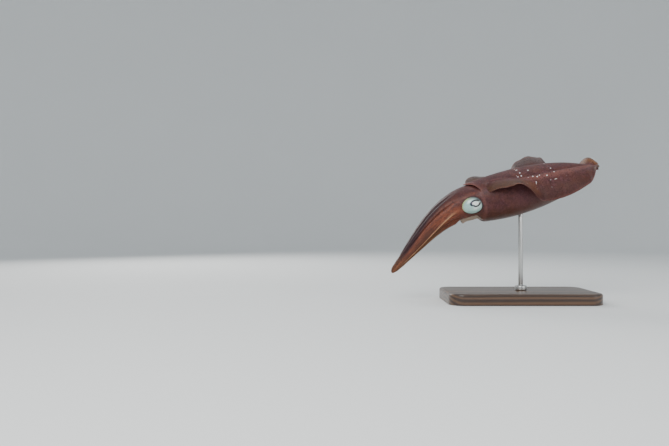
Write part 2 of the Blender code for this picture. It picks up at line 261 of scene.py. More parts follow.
@dataclass(frozen=True)
class Fins:
    """The two long side fins, waving each in its own way."""

    mantle: Mantle
    start: float = 0.085
    end: float = 1.015
    width: float = 0.037
    front_rounding: float = 0.35
    rear_fullness: float = 3.3
    rear_rounding: float = 0.58
    profile_peak: float = 0.78
    root_thickness: float = 0.0030
    edge_thickness: float = 0.0009
    root_front: float = 46
    root_middle: float = 68
    root_back: float = 60
    root_fall: tuple[float, float] = (0.10, 0.42)
    root_rise: tuple[float, float] = (0.75, 1.0)
    root_depth: float = 0.003
    root_gap: float = 0.0003
    hinge: float = 0.18
    sweep_end: float = 0.25
    rear_sweep_span: tuple[float, float] = (0.84, 0.96)
    fillet: float = 0.0013
    fillet_reach: float = 0.0020
    ruffle: float = 0.00022
    ruffle_length: float = 0.0135
    steps: int = 36
    sweep: dict[Side, float] = field(
        hash=False, default_factory=lambda: {Side.LEFT: 0.002, Side.RIGHT: 0.020}
    )
    rear_sweep: dict[Side, float] = field(
        hash=False, default_factory=lambda: {Side.LEFT: 0.0, Side.RIGHT: 0.0045}
    )
    waves: dict[Side, tuple[FinStation, ...]] = field(
        hash=False,
        default_factory=lambda: {
            Side.LEFT: (
                FinStation(0.08, -42, -78),
                FinStation(0.18, -15, -42),
                FinStation(0.31, -3, -24),
                FinStation(0.51, -58, -108),
                FinStation(0.86, -24, -78),
                FinStation(1.00, 10, 16),
            ),
            Side.RIGHT: (
                FinStation(0.08, 46, 66),
                FinStation(0.20, 18, 27),
                FinStation(0.29, -38, -54),
                FinStation(0.49, 37, 57),
                FinStation(0.57, 43, 65),
                FinStation(0.68, 34, 52),
                FinStation(0.83, -38, -54),
                FinStation(1.00, 43, 72),
            ),
        },
    )

    def angles(self, side: Side, share: float) -> tuple[float, float]:
        """Root and edge angles above the horizontal, eased from each station to the next."""
        stations = self.waves[side]
        for before, after in zip(stations, stations[1:]):
            if share <= after.share:
                break
        eased = smoothstep(before.share, after.share, share)
        return mix(before.root, after.root, eased), mix(before.edge, after.edge, eased)

    def width_at(self, share: float) -> float:
        """How far the fin reaches out from the mantle."""
        along = min(max((share - self.start) / (self.end - self.start), 0.0), 1.0)
        profile = along**self.front_rounding * (1 - along**self.rear_fullness) ** self.rear_rounding
        return self.width * profile / self.profile_peak

    def root_at(self, share: float) -> float:
        """The angle around the mantle at which the fin leaves it, in radians."""
        down = mix(self.root_front, self.root_middle, smoothstep(*self.root_fall, share))
        return math.radians(mix(down, self.root_back, smoothstep(*self.root_rise, share)))

    def sweep_at(self, share: float, side: Side, out: float) -> float:
        """How far ahead of its root a point lies: the front lobe ahead, the rear lobe behind."""
        forward = self.sweep[side] * (1 - smoothstep(0.0, self.sweep_end, share))
        return out * (forward - self.rear_sweep[side] * smoothstep(*self.rear_sweep_span, share))

    def thickness_at(self, out: float) -> float:
        """The fin's thickness a fraction of the way out."""
        return mix(self.root_thickness, self.edge_thickness, out**0.7)

    def line(self, share: float, side: Side) -> list[tuple[float, float, float]]:
        """The middle of the fin's section, from its buried root to its edge.

        Args:
            share: Distance behind the collar over the mantle's length.
            side: Which fin.

        Returns:
            Lateral, up and direction in radians, at even steps out.
        """
        root = self.root_at(share)
        radius = self.mantle.radius_at(share * self.mantle.length, root)
        least = (self.root_thickness + self.root_gap) / 2
        lateral = max(radius * math.sin(root) - self.root_depth, least)
        up = radius * math.cos(root)
        at_root, at_edge = self.angles(side, share)
        width = self.width_at(share) + self.root_depth
        normal = 90 - math.degrees(root)
        points = [(lateral, up, math.radians(normal))]
        for step in range(self.steps):
            there = (step + 0.5) / self.steps
            settled = smoothstep(0.0, self.hinge, there)
            angle = math.radians(mix(normal, mix(at_root, at_edge, there), settled))
            lateral += math.cos(angle) * width / self.steps
            up += math.sin(angle) * width / self.steps
            points.append((lateral, up, angle))
        return points

    def ripple(self, share: float, side: Side, out: float) -> float:
        """The small ruffle near the free edge, as a height off the fin's middle surface."""
        turns = share * self.mantle.length / self.ruffle_length
        wave = math.sin(2 * math.pi * turns + 1.7 * side.value) + 0.6 * math.sin(3.7 * math.pi * turns)
        return self.ruffle * out**3 * wave * smoothstep(0.0, 0.006, self.width_at(share))


@dataclass(frozen=True)
class Arm:
    """One pair of arms in the closed bundle.

    Attributes:
        number: Its place from the back, for the skin's pattern.
        share: The part of the half-circle it takes.
        reach: How far it runs along the bundle.
        columns: The skin's columns across it.
    """

    number: int
    share: float
    reach: float
    columns: int


@dataclass(frozen=True)
class HeadAndArms:
    """The head and the cone of arms in front of it, as one surface with grooves between the arms."""

    depth: float = 0.0224
    neck_narrowing: float = 0.0010
    neck_flare: float = 0.0030
    neck_flare_place: float = -0.0070
    neck_flare_length: float = 0.0085
    neck_back: float = -0.0125
    neck_front: float = 0.004
    arm_base: float = 0.031
    taper_start: float = 0.0120
    taper_ease: float = 0.08
    tip: float = 0.1418
    tip_radius: float = 0.0036
    brow_ahead: float = 0.0074
    brow_bulge: float = 0.0036
    brow_length: float = 0.0150
    arm_half_depth: float = 0.36
    arm_squareness: float = 2.6
    tentacle_seat: float = 0.74
    arm_narrowing: float = 0.6
    arm_closes: tuple[float, float] = (0.97, 1.10)
    arm_rounds: tuple[float, float] = (0.86, 1.005)
    least_share: float = 0.006
    groove_limit: float = 0.11
    groove_start: float = 0.018
    groove_full: float = 0.048
    cap_length: float = 0.0085
    funnel_groove: float = 0.0058
    funnel_groove_angle: float = 25
    funnel_groove_end: tuple[float, float] = (0.024, 0.038)
    keel_height: float = 0.0013
    keel_places: tuple[float, float] = (0.12, 0.86)
    keel_crosses: tuple[float, float] = (0.036, 0.090)
    keel_starts: tuple[float, float] = (0.020, 0.036)
    keel_width: float = 0.075
    arms: tuple[Arm, ...] = (
        Arm(4, 0.20, 0.96, 18),
        Arm(5, 0.09, 1.00, 12),
        Arm(3, 0.34, 1.00, 44),
        Arm(2, 0.19, 0.90, 20),
        Arm(1, 0.18, 0.80, 16),
    )

    @property
    def columns(self) -> int:
        """The skin's columns over one side."""
        return sum(arm.columns for arm in self.arms)

    def radius_at(self, ahead: float) -> float:
        """Half-depth of the head and of the bundle of arms."""
        along = (ahead - self.taper_start) / (self.tip - self.taper_start)
        eased = (along + math.hypot(along, self.taper_ease)) / 2
        neck = self.neck_narrowing * (1 - smoothstep(self.neck_back, self.neck_front, ahead))
        return self.depth - (self.depth - self.tip_radius) * min(eased, 1.0) - neck

    def widening_at(self, ahead: float) -> float:
        """How much wider than its depth the head is, to each side: over the eyes and in the neck."""
        flare = self.neck_flare * bell(ahead - self.neck_flare_place, self.neck_flare_length)
        return flare + self.brow_bulge * bell(ahead - self.brow_ahead, self.brow_length)

    def side_at(self, ahead: float, up: float) -> float:
        """Half-width of the head at a height in its section."""
        radius = self.radius_at(ahead)
        return (radius + self.widening_at(ahead)) * math.sqrt(max(1 - (up / radius) ** 2, 0.0))

    def keel_at(self, ahead: float) -> float:
        """How far down the third arm's face its keel runs: it starts at the middle and ends at the edge."""
        start, end = self.keel_crosses
        return mix(*self.keel_places, min(max((ahead - start) / (end - start), 0.0), 1.0))

    def used(self, arm: Arm, ahead: float) -> float:
        """How much of an arm's own length lies behind this section, from 0 at its base."""
        end = mix(self.arm_base, self.tip, arm.reach)
        return (ahead - self.arm_base) / (end - self.arm_base)

    def share_at(self, arm: Arm, ahead: float) -> float:
        """The part of the half-circle an arm takes before all the shares are scaled to fill it."""
        used = max(self.used(arm, ahead), 0.0)
        narrowing = 1 - self.arm_narrowing * min(used, 1.0) ** 3
        closing = 1 - smoothstep(*self.arm_closes, used)
        return max(arm.share * narrowing * closing, self.least_share)

    def lobe_depth(self, arm: Arm, ahead: float, half: float, turn: float) -> float:
        """How far below the bundle's outline an arm's outer face lies, over the bundle's radius.

        Args:
            arm: The arm.
            ahead: The section.
            half: Half of the angle that the arm takes, in radians.
            turn: The place across the arm's outer face, from -pi/2 to pi/2.

        Returns:
            0 on the outline, and more in the grooves and past the arm's tip.
        """
        seat = self.tentacle_seat if arm.number == 5 else 1 - self.arm_half_depth
        half_width = seat * math.tan(half)
        half_depth = min(self.arm_half_depth, half_width * 1.5)
        if arm.number != 5:
            seat = 1 - half_depth
        start, end = self.arm_rounds
        near_end = max((self.used(arm, ahead) - start) / (end - start), 0.0)
        rounding = math.sqrt(max(1 - near_end**2, 0.0))
        power = 2 / self.arm_squareness
        outer = seat + half_depth * rounding * max(math.cos(turn), 0.0) ** power
        offset = math.atan(abs(math.sin(turn)) ** power * math.tan(half))
        return 1 - outer / math.cos(offset)

    @lru_cache(maxsize=1024)
    def sectors(self, ahead: float) -> tuple[tuple[Arm, float, float], ...]:
        """Each arm with its middle angle and half-angle, in radians, from the belly to the back."""
        shares = [self.share_at(arm, max(ahead, self.arm_base)) for arm in self.arms]
        scale = math.pi / sum(shares)
        found, start = [], math.pi
        for arm, share in zip(self.arms, shares):
            half = share * scale / 2
            found.append((arm, start - half, half))
            start -= 2 * half
        return tuple(found)

    def column_place(self, ahead: float, column: int) -> tuple[Arm, float, float, float]:
        """Where a column runs on a section.

        Args:
            ahead: The section.
            column: The column, from 0 at the belly.

        Returns:
            The arm, its half-angle, the turn across its face and the angle around the section.
        """
        power = 2 / self.arm_squareness
        for arm, middle, half in self.sectors(ahead):
            if column <= arm.columns:
                break
            column -= arm.columns
        turn = math.pi * (column / arm.columns - 0.5)
        across = math.copysign(abs(math.sin(turn)) ** power, turn)
        return arm, half, turn, middle - math.atan(across * math.tan(half))


@dataclass(frozen=True)
class EyeShape:
    """An eyeball: its half-sizes and its place in the head."""

    ahead: float = 0.00635
    half_length: float = 0.01455
    half_height: float = 0.01113
    half_depth: float = 0.0085
    lateral: float = 0.0208
    drop: float = 0.00347
    lid_height: float = 0.0006
    lid_width: float = 0.0011
    lid_sink: float = 0.0008
    pouch_slope: float = 0.0060
    reach: float = 1.6

    def outline(self, ahead: float, up: float) -> float:
        """How far out a place is from the eye's middle, 1 on the eyeball's outline."""
        return math.hypot((ahead - self.ahead) / self.half_length, (up + self.drop) / self.half_height)

    def proud(self, out: float, lateral: float) -> float:
        """How far the eyeball stands out of the head's side, negative where it lies under it."""
        if out > 1:
            return self.lateral - lateral - self.half_depth * (out - 1)
        return self.lateral - lateral + self.half_depth * math.sqrt(1 - out**2)

    def bed(self, ahead: float, lateral: float, up: float) -> tuple[float, float]:
        """Closes the head's side round the eyeball with a soft lid, and sinks it behind the ball.

        Args:
            ahead: The section.
            lateral: The head's side before, as a distance from the plane of symmetry.
            up: The height in the section.

        Returns:
            The new lateral distance, and 1 on the lid's edge falling to 0 off it.
        """
        out = self.outline(ahead, up)
        if out > self.reach:
            return lateral, 0.0
        lateral = max(lateral, self.lateral - self.lid_sink - self.pouch_slope * max(out - 1, 0.0))
        proud = self.proud(out, lateral)
        lid = bell(proud, self.lid_width)
        sunk = self.lid_sink * smoothstep(0.5 * self.lid_sink, 2 * self.lid_sink, proud)
        line = bell(proud, 0.7 * self.lid_width) * (1 - smoothstep(1.0, 1.12, out))
        return lateral + self.lid_height * lid - sunk, line


@dataclass(frozen=True)
class Funnel:
    """The tube under the head, open in front."""

    axis: BodyAxis
    back: float = -0.006
    front: float = 0.026
    back_drop: float = 0.0150
    front_drop: float = 0.0178
    back_radius: float = 0.0080
    front_radius: float = 0.0048
    bore_radius: float = 0.0033
    bore_depth: float = 0.008
    lip_radius: float = 0.0005
    fading: tuple[float, float] = (0.0008, 0.0050)
    rows: int = 26
    columns: int = 44
    inner_rows: int = 8

    def paleness(self, ahead: float, lateral: float, up: float) -> float:
        """How much the head's skin takes the tube's pale colour: wholly where they meet, fading beside it."""
        along = (ahead - self.back) / (self.front - self.back)
        inside = min(max(along, 0.0), 1.0)
        radius = mix(self.back_radius, self.front_radius, smoothstep(0, 1, inside))
        beside = math.hypot(lateral, up + mix(self.back_drop, self.front_drop, inside)) - radius
        beyond = max(along - 1, 0.0) * (self.front - self.back)
        return 1 - smoothstep(*self.fading, math.hypot(max(beside, 0.0), beyond))

    def point(self, row: int, column: int) -> SkinPoint:
        """The tube's surface, along its outside, round its lip and down its bore."""
        around = 2 * math.pi * column / self.columns
        along = min(row / self.rows, 1.0)
        inner = max(row - self.rows, 0) / self.inner_rows
        ahead = mix(self.back, self.front, along)
        radius = mix(self.back_radius, self.front_radius, smoothstep(0, 1, along))
        radius += 0.0004 * math.sin(math.pi * along) * math.sin(3 * around + 9 * along)
        if inner > 0:
            rim = min(inner * 4, 1.0)
            radius = mix(self.front_radius, self.bore_radius, smoothstep(0, 1, rim))
            ahead += self.lip_radius * math.sin(math.pi * rim)
            ahead -= self.bore_depth * max(inner - 0.25, 0.0) / 0.75
            radius *= 1 - 0.25 * max(inner - 0.25, 0.0)
        drop = mix(self.back_drop, self.front_drop, along)
        place = self.axis.place_head(ahead, radius * math.sin(around), radius * math.cos(around) - drop)
        # painted shade darkens the funnel's bore towards its depth
        traits = {Trait.PALE.value: 1.0, Trait.DEEP.value: smoothstep(0.25, 1.0, inner)}
        traits |= {Trait.AHEAD.value: ahead * 10, Trait.BACK.value: -1.0}
        return SkinPoint(place, traits)


@dataclass(frozen=True)
class Patch:
    """A soft patch of warm colour on the side of the head: its place, its half-sizes and its strength."""

    ahead: float
    up: float
    length: float
    height: float
    strength: float

    def at(self, ahead: float, up: float) -> float:
        """How strong the patch is at a place."""
        return self.strength * bell(ahead - self.ahead, self.length) * bell(up - self.up, self.height)


@dataclass(frozen=True)
class SquidSkin:
    """The whole skin, from the tail over the mantle, the collar, the head and the arms to their tips.

    The rings that it is made of have the same number of columns: up the left side from the belly to the
    back, and down the right side.
    """

    axis: BodyAxis
    mantle: Mantle
    fins: Fins
    head: HeadAndArms
    eye: EyeShape
    funnel: Funnel
    belly_columns: int = 30
    fin_columns: int = 30
    fin_rows: int = 160
    collar_rows: int = 14
    lip_rows: int = 4
    pocket_rows: int = 6
    floor_rows: int = 3
    head_rows: int = 96
    arm_rows: int = 104
    cap_rows: int = 8
    neck_start: float = -0.0130
    neck_ease: tuple[float, float] = (0.011, 0.009)
    neck_gap: float = 0.0002
    band_width: float = 0.0035
    patches: tuple[Patch, ...] = (
        Patch(0.003, 0.0100, 0.0045, 0.0016, 0.7),
        Patch(0.013, 0.0080, 0.0050, 0.0014, 0.5),
        Patch(0.027, -0.0030, 0.0080, 0.0040, 1.0),
    )
    unevenness: float = 0.00013
    unevenness_size: float = 0.0060

    def mantle_traits(self, behind: float, around: float, **more: float) -> Traits:
        """The traits of a point of the mantle or of a fin."""
        traits = {Trait.AHEAD.value: -behind * 10, Trait.BACK.value: math.cos(around)}
        return traits | {Trait[name].value: value for name, value in more.items()}

    def mantle_point(
        self, behind: float, around: float, side: Side, grown: float, **more: float
    ) -> SkinPoint:
        """A point of the mantle's surface, grown outwards."""
        radius = self.mantle.radius_at(behind, around)
        radius = max(radius, self.mantle.core_at(behind / self.mantle.length, self.fins.end)) + grown
        place = self.axis.place(-behind, side.value * radius * math.sin(around), radius * math.cos(around))
        return SkinPoint(place, self.mantle_traits(behind, around, **more))

    def strip(self, share: float) -> list[tuple[float, float]]:
        """The angle around the mantle of each column, and its place in the fin's root.

        Args:
            share: Distance behind the collar over the mantle's length.

        Returns:
            The angle in radians, and the fraction out along the fin: 0 off the fin, 1 at its edge, and
            negative on its upper face.
        """
        root = self.fins.root_at(share)
        radius = self.mantle.radius_at(share * self.mantle.length, root)
        spread = min((self.fins.root_thickness / 2 + self.fins.fillet) / max(radius, 0.001), 0.45)
        back_columns = self.head.columns - self.belly_columns - 2 * self.fin_columns - 2
        found = [
            (mix(math.pi, root + spread, k / self.belly_columns), 0.0) for k in range(self.belly_columns + 1)
        ]
        under = [k / self.fin_columns for k in range(1, self.fin_columns + 1)]
        found += [(root + spread * (1 - out), out) for out in under]
        found += [(root, 2.0)]
        found += [(root - spread * (1 - out), -out) for out in reversed(under)]
        found += [(mix(root - spread, 0.0, k / back_columns), 0.0) for k in range(back_columns + 1)]
        return found

    def fin_side(self, share: float, side: Side) -> list[SkinPoint]:
        """One side of a ring where the fin stands out, from the belly to the back."""
        fins, behind = self.fins, share * self.mantle.length
        line = fins.line(share, side)
        width = fins.width_at(share)
        root = fins.root_at(share)
        buried = self.mantle.radius_at(behind, root) * math.sin(root) - line[0][0]
        first = max(buried, 0.0) / (width + fins.root_depth)
        grown = smoothstep(0.0, 0.004, width)
        points = []
        for around, out in self.strip(share):
            base = self.mantle_point(behind, around, side, 0.0)
            if out == 0.0:
                points.append(base)
                continue
            fraction = mix(first, 1.0, min(abs(out), 1.0))
            step = min(int(fraction * fins.steps), fins.steps - 1)
            between = fraction * fins.steps - step
            lateral, up, angle = (mix(a, b, between) for a, b in zip(line[step], line[step + 1]))
            height = fins.ripple(share, side, fraction)
            if out == 2.0:
                lateral += math.cos(angle) * fins.edge_thickness / 2
                up += math.sin(angle) * fins.edge_thickness / 2
            else:
                from_root = (fraction - first) * (width + fins.root_depth)
                half = fins.thickness_at(fraction) / 2 + fins.fillet * bell(from_root, fins.fillet_reach)
                height += -half if out > 0 else half
            lateral -= math.sin(angle) * height
            up += math.cos(angle) * height
            ahead = fins.sweep_at(share, side, fraction) - behind
            place = base.place.lerp(self.axis.place(ahead, side.value * max(lateral, 0.0), up), grown)
            reach = max(min(abs(out), 1.0), 0.001) * grown
            traits = self.mantle_traits(behind, root, FIN=reach, RAISED=smoothstep(0.0, 0.6, math.sin(angle)))
            points.append(SkinPoint(place, traits))
        return points

    def collar_side(self, along: float, side: Side) -> list[SkinPoint]:
        """One side of a ring between the fins' front end and the mantle's margin."""
        back = self.fins.start * self.mantle.length
        return [
            self.mantle_point(
                mix(back, self.mantle.margin(around), along), around, side, 0.0,
                LIP=0.34 * smoothstep(0.5, 1.0, along),
            )
            for around, _ in self.strip(self.fins.start)
        ]

    def lip_side(self, turn: float, side: Side) -> list[SkinPoint]:
        """One side of a ring on the margin's rounded edge, turn going from 0 outside to 1 inside."""
        points = []
        for around, _ in self.strip(self.fins.start):
            thick, open_lip = self.mantle.lip_at(around), 1 - self.mantle.seal(around)
            behind = self.mantle.margin(around) - thick / 2 * math.sin(math.pi * turn)
            grown = -thick * (1 - math.cos(math.pi * turn)) / 2
            lip = mix(0.34, 1.0, open_lip)
            points.append(self.mantle_point(behind, around, side, grown, LIP=lip))
        return points

    def pocket_side(self, along: float, side: Side) -> list[SkinPoint]:
        """One side of a ring on the pocket's wall, down from the lip."""
        points = []
        for around, _ in self.strip(self.fins.start):
            behind = mix(self.mantle.margin(around), self.mantle.pocket_depth, along)
            grown = -mix(self.mantle.lip_at(around), self.mantle.wall_thickness, along)
            # painted shade darkens the pocket's wall towards its floor, sooner where the margin stands open
            deep = mix(smoothstep(0.0, 0.6, along), along, self.mantle.seal(around))
            points.append(self.mantle_point(behind, around, side, grown, LIP=1 - along, DEEP=deep))
        return points

    def floor_side(self, along: float, side: Side) -> list[SkinPoint]:
        """One side of a ring on the pocket's floor, from its wall in to the neck."""
        points = []
        for column, (around, _) in enumerate(self.strip(self.fins.start)):
            # painted shade fills the pocket's floor
            outer = self.mantle_point(
                self.mantle.pocket_depth, around, side, -self.mantle.wall_thickness, DEEP=1.0
            )
            inner = self.head_point(self.neck_start, column, side)
            outer.place = outer.place.lerp(inner.place, along)
            points.append(outer)
        return points

    def head_point(self, ahead: float, column: int, side: Side) -> SkinPoint:
        """A point of the head or the arms, with the socket, the funnel's groove and the arms' grooves."""
        head = self.head
        arm, half, turn, around = head.column_place(ahead, column)
        radius = head.radius_at(ahead)
        below = head.lobe_depth(arm, ahead, half, turn)
        grooved = smoothstep(head.groove_start, head.groove_full, ahead)
        sunk = grooved * head.groove_limit * math.tanh(below / head.groove_limit)
        across = math.sin(turn)
        keel = 0.0
        if arm.number == 3:
            fade = smoothstep(*head.keel_starts, ahead) * (1 - smoothstep(0.7, 0.95, head.used(arm, ahead)))
            keel = fade * bell(across + head.keel_at(ahead), head.keel_width)
        share = max(self.used_share(ahead), 0.0)
        wander = noise.noise(Vector((ahead * 45, arm.number * 5.3, side.value * 3))) * 0.018 * grooved
        scale = 1 - sunk + wander * (1 - abs(across)) + head.keel_height * keel / radius
        wide = radius + head.widening_at(ahead)
        lateral = wide * scale * math.sin(around)
        up = radius * scale * math.cos(around)
        belly = bell(math.degrees(math.pi - around), head.funnel_groove_angle)
        groove = belly * (1 - smoothstep(*head.funnel_groove_end, ahead))
        up += head.funnel_groove * groove
        lateral, up = self.fill_mouth(ahead, around, lateral, up)
        lid = 0.0
        if column not in (0, head.columns):
            lateral, lid = self.eye.bed(ahead, lateral, up)
        rounding = max((ahead - (head.tip - head.cap_length)) / head.cap_length, 0.0)
        closing = math.sqrt(max(1 - rounding**2, 0.0))
        place = self.axis.place_head(ahead, side.value * lateral * closing, up * closing)
        traits = {
            Trait.AHEAD.value: ahead * 10,
            Trait.BACK.value: math.cos(around),
            # painted shade in the grooves between the arms and in the funnel's groove
            Trait.DEEP.value: max(0.4 * min(sunk / head.groove_limit, 1.0) ** 2, 0.8 * groove**4),
            Trait.ACROSS.value: across * smoothstep(0.0, 0.2, share + 0.1),
            Trait.ARM.value: arm.number * grooved,
            Trait.KEEL.value: keel,
            Trait.LID.value: lid,
            Trait.WARM.value: sum(patch.at(ahead, up) for patch in self.patches),
            Trait.LIP.value: self.neck_band(ahead, around),
            Trait.PALE.value: self.funnel.paleness(ahead, lateral, up),
        }
        return SkinPoint(place, traits)

    def fill_mouth(self, ahead: float, around: float, lateral: float, up: float) -> tuple[float, float]:
        """Raises the neck's flanks to just under the mantle's margin, which hugs them there.

        Args:
            ahead: The section.
            around: The angle around it.
            lateral: The neck's distance from the plane of symmetry before.
            up: Its height in the section before.

        Returns:
            The new lateral distance and height.
        """
        margin = -self.mantle.margin(around)
        ease = mix(*self.neck_ease, smoothstep(120, 160, math.degrees(around)))
        share = self.mantle.seal(around) * (1 - smoothstep(margin, margin + ease, ahead))
        radius = self.mantle.radius_at(max(-ahead, 0.0), around) - self.mantle.lip_at(around) - self.neck_gap
        lift = self.axis.lift(ahead)
        return (
            mix(lateral, radius * math.sin(around), share),
            mix(up, radius * math.cos(around) - lift, share),
        )

    def neck_band(self, ahead: float, around: float) -> float:
        """How much of the margin's paler colour the neck takes where it is hugged."""
        margin = -self.mantle.margin(around)
        return 0.34 * self.mantle.seal(around) * (1 - smoothstep(margin, margin + self.band_width, ahead))

    def used_share(self, ahead: float) -> float:
        """How far along the arms a section is, below 0 in the head."""
        return (ahead - self.head.arm_base) / (self.head.tip - self.head.arm_base)

    def head_side(self, ahead: float, side: Side) -> list[SkinPoint]:
        """One side of a ring on the head or the arms."""
        return [self.head_point(ahead, column, side) for column in range(self.head.columns + 1)]

    def rings(self) -> list[list[SkinPoint]]:
        """Every ring of the skin, from the tail to the arms' tips."""
        makers = []
        for row in range(self.fin_rows + 1):
            along = 0.5 + 0.5 * math.cos(math.pi * row / self.fin_rows)
            makers.append((self.fin_side, mix(self.fins.start, self.fins.end, along)))
        makers += [(self.collar_side, k / self.collar_rows) for k in range(1, self.collar_rows + 1)]
        makers += [(self.lip_side, k / self.lip_rows) for k in range(1, self.lip_rows + 1)]
        makers += [(self.pocket_side, k / self.pocket_rows) for k in range(1, self.pocket_rows + 1)]
        makers += [(self.floor_side, k / self.floor_rows) for k in range(1, self.floor_rows)]
        head, start = self.head, self.neck_start
        makers += [
            (self.head_side, mix(start, head.arm_base, k / self.head_rows)) for k in range(self.head_rows + 1)
        ]
        cap = head.tip - head.cap_length
        makers += [
            (self.head_side, mix(head.arm_base, cap, k / self.arm_rows)) for k in range(1, self.arm_rows + 1)
        ]
        makers += [
            (self.head_side, cap + head.cap_length * math.sin(math.pi / 2 * k / self.cap_rows))
            for k in range(1, self.cap_rows + 1)
        ]
        found = []
        for maker, where in makers:
            left, right = maker(where, Side.LEFT), maker(where, Side.RIGHT)
            found.append(left + right[-2::-1])
        return found

    def build(self, finish: bpy.types.Material) -> bpy.types.Object:
        """Makes the skin with the funnel joined to it.

        Args:
            finish: The skin's material.

        Returns:
            The skin, as one closed mesh with its traits as attributes.
        """
        rings = self.rings()
        skin = wrap("squid_skin", len(rings) - 1, 2 * self.head.columns, lambda r, c: rings[r][c].place)
        points = [point for ring in rings for point in ring]
        tube = self.funnel
        tube_rows = tube.rows + tube.inner_rows
        spout = wrap("spout", tube_rows, tube.columns, lambda r, c: tube.point(r, c).place)
        points += [tube.point(r, c) for r in range(tube_rows + 1) for c in range(tube.columns)]
        join = skin.modifiers.new("funnel", "BOOLEAN")
        join.operation, join.solver, join.object = "UNION", "EXACT", spout
        apply_modifiers(skin)
        bpy.data.objects.remove(spout)
        keep_one_surface(skin)
        write_traits(skin, points, (Trait.PALE, Trait.DEEP))
        self.roughen(skin)
        skin.data.materials.clear()
        skin.data.materials.append(finish)
        return skin

    def roughen(self, skin: bpy.types.Object) -> None:
        """Gives the smooth skin the slight unevenness of flesh."""
        bm = bmesh.new()
        bm.from_mesh(skin.data)
        bm.normal_update()
        fin = bm.verts.layers.float[Trait.FIN.value]
        for vertex in bm.verts:
            height = noise.fractal(vertex.co / self.unevenness_size, 1.0, 2.0, 2)
            vertex.co += vertex.normal * height * self.unevenness * (1 - 0.7 * vertex[fin])
        bm.to_mesh(skin.data)
        bm.free()
        skin.data.shade_smooth()


def add_mesh_object(name: str, bm: bmesh.types.BMesh) -> bpy.types.Object:
    """Links a finished bmesh as an object at the origin and frees it."""
    mesh = bpy.data.meshes.new(name)
    bm.to_mesh(mesh)
    bm.free()
    made = bpy.data.objects.new(name, mesh)
    bpy.context.scene.collection.objects.link(made)
    made.data.shade_smooth()
    return made


def wrap(name: str, rows: int, columns: int, place: Placer) -> bpy.types.Object:
    """Wraps a flat grid into a closed tube and closes its ends.

    Args:
        name: The object's name.
        rows: The grid's rows along the tube.
        columns: The grid's columns around it, the first and last of which fall together.
        place: A function from row and column to a position.

    Returns:
        The new object.
    """
    bm = bmesh.new()
    bmesh.ops.create_grid(bm, x_segments=rows, y_segments=columns, size=1.0)
    for vertex in bm.verts:
        row = round((vertex.co.x + 1.0) / 2.0 * rows)
        column = round((vertex.co.y + 1.0) / 2.0 * columns)
        vertex.co = place(row, column)
    bmesh.ops.remove_doubles(bm, verts=bm.verts, dist=2e-6)
    bmesh.ops.holes_fill(bm, edges=[edge for edge in bm.edges if edge.is_boundary], sides=0)
    bmesh.ops.recalc_face_normals(bm, faces=bm.faces)
    return add_mesh_object(name, bm)


def apply_modifiers(target: bpy.types.Object) -> None:
    """Bakes an object's modifiers into its mesh."""
    graph = bpy.context.evaluated_depsgraph_get()
    mesh = bpy.data.meshes.new_from_object(target.evaluated_get(graph))
    target.modifiers.clear()
    target.data = mesh


def islands(bm: bmesh.types.BMesh) -> list[list[bmesh.types.BMFace]]:
    """Groups the faces that join across edges of exactly two faces, the largest group first."""
    unseen, found = set(bm.faces), []
    while unseen:
        waiting = [unseen.pop()]
        group = []
        while waiting:
            face = waiting.pop()
            group.append(face)
            for edge in face.edges:
                if edge.is_manifold:
                    beside = [other for other in edge.link_faces if other in unseen]
                    unseen.difference_update(beside)
                    waiting.extend(beside)
        found.append(group)
    return sorted(found, key=len, reverse=True)


def keep_one_surface(target: bpy.types.Object, shortest: float = 2e-6, rounds: int = 4) -> None:
    """Leaves one closed surface, where folds that touch had left slivers or shared an edge.

    Args:
        target: The object whose mesh is mended.
        shortest: The length under which an edge is taken out.
        rounds: How often it may be done, until nothing is left to mend.
    """
    bm = bmesh.new()
    bm.from_mesh(target.data)
    for _ in range(rounds):
        slivers = [face for group in islands(bm)[1:] for face in group]
        bmesh.ops.delete(bm, geom=slivers, context="FACES")
        shared = {vertex for edge in bm.edges if len(edge.link_faces) > 2 for vertex in edge.verts}
        torn = {face for vertex in shared for face in vertex.link_faces}
        bmesh.ops.delete(bm, geom=list(torn), context="FACES")
        bmesh.ops.delete(bm, geom=[vertex for vertex in bm.verts if not vertex.link_faces], context="VERTS")
        bmesh.ops.dissolve_degenerate(bm, edges=bm.edges, dist=shortest)
        bmesh.ops.holes_fill(bm, edges=[edge for edge in bm.edges if edge.is_boundary], sides=0)
        if all(edge.is_manifold for edge in bm.edges) and len(islands(bm)) == 1:
            break
    bmesh.ops.triangulate(bm, faces=[face for face in bm.faces if len(face.verts) > 4])
    bmesh.ops.recalc_face_normals(bm, faces=bm.faces)
    bm.to_mesh(target.data)
    bm.free()


def soften(target: bpy.types.Object, values: list[float], rounds: int = 8) -> list[float]:
    """Averages a value with those of the neighbouring vertices, several times over."""
    ends = np.empty(2 * len(target.data.edges), dtype=np.int32)
    target.data.edges.foreach_get("vertices", ends)
    first, second = ends[::2], ends[1::2]
    found = np.array(values)
    links = np.bincount(ends, minlength=len(found))
    for _ in range(rounds):
        near = np.bincount(first, found[second], len(found)) + np.bincount(second, found[first], len(found))
        found = (found + near / np.maximum(links, 1)) / 2
    return found.tolist()


def write_traits(target: bpy.types.Object, points: list[SkinPoint], softened: tuple[Trait, ...]) -> None:
    """Stores on each vertex the traits of the skin point nearest to it, some of them with soft borders."""
    tree = KDTree(len(points))
    for index, point in enumerate(points):
        tree.insert(point.place, index)
    tree.balance()
    nearest = [points[tree.find(vertex.co)[1]].traits for vertex in target.data.vertices]
    for trait in Trait:
        values = [traits.get(trait.value, 0.0) for traits in nearest]
        if trait in softened:
            values = soften(target, values)
        layer = target.data.attributes.new(trait.value, "FLOAT", "POINT")
        layer.data.foreach_set("value", values)


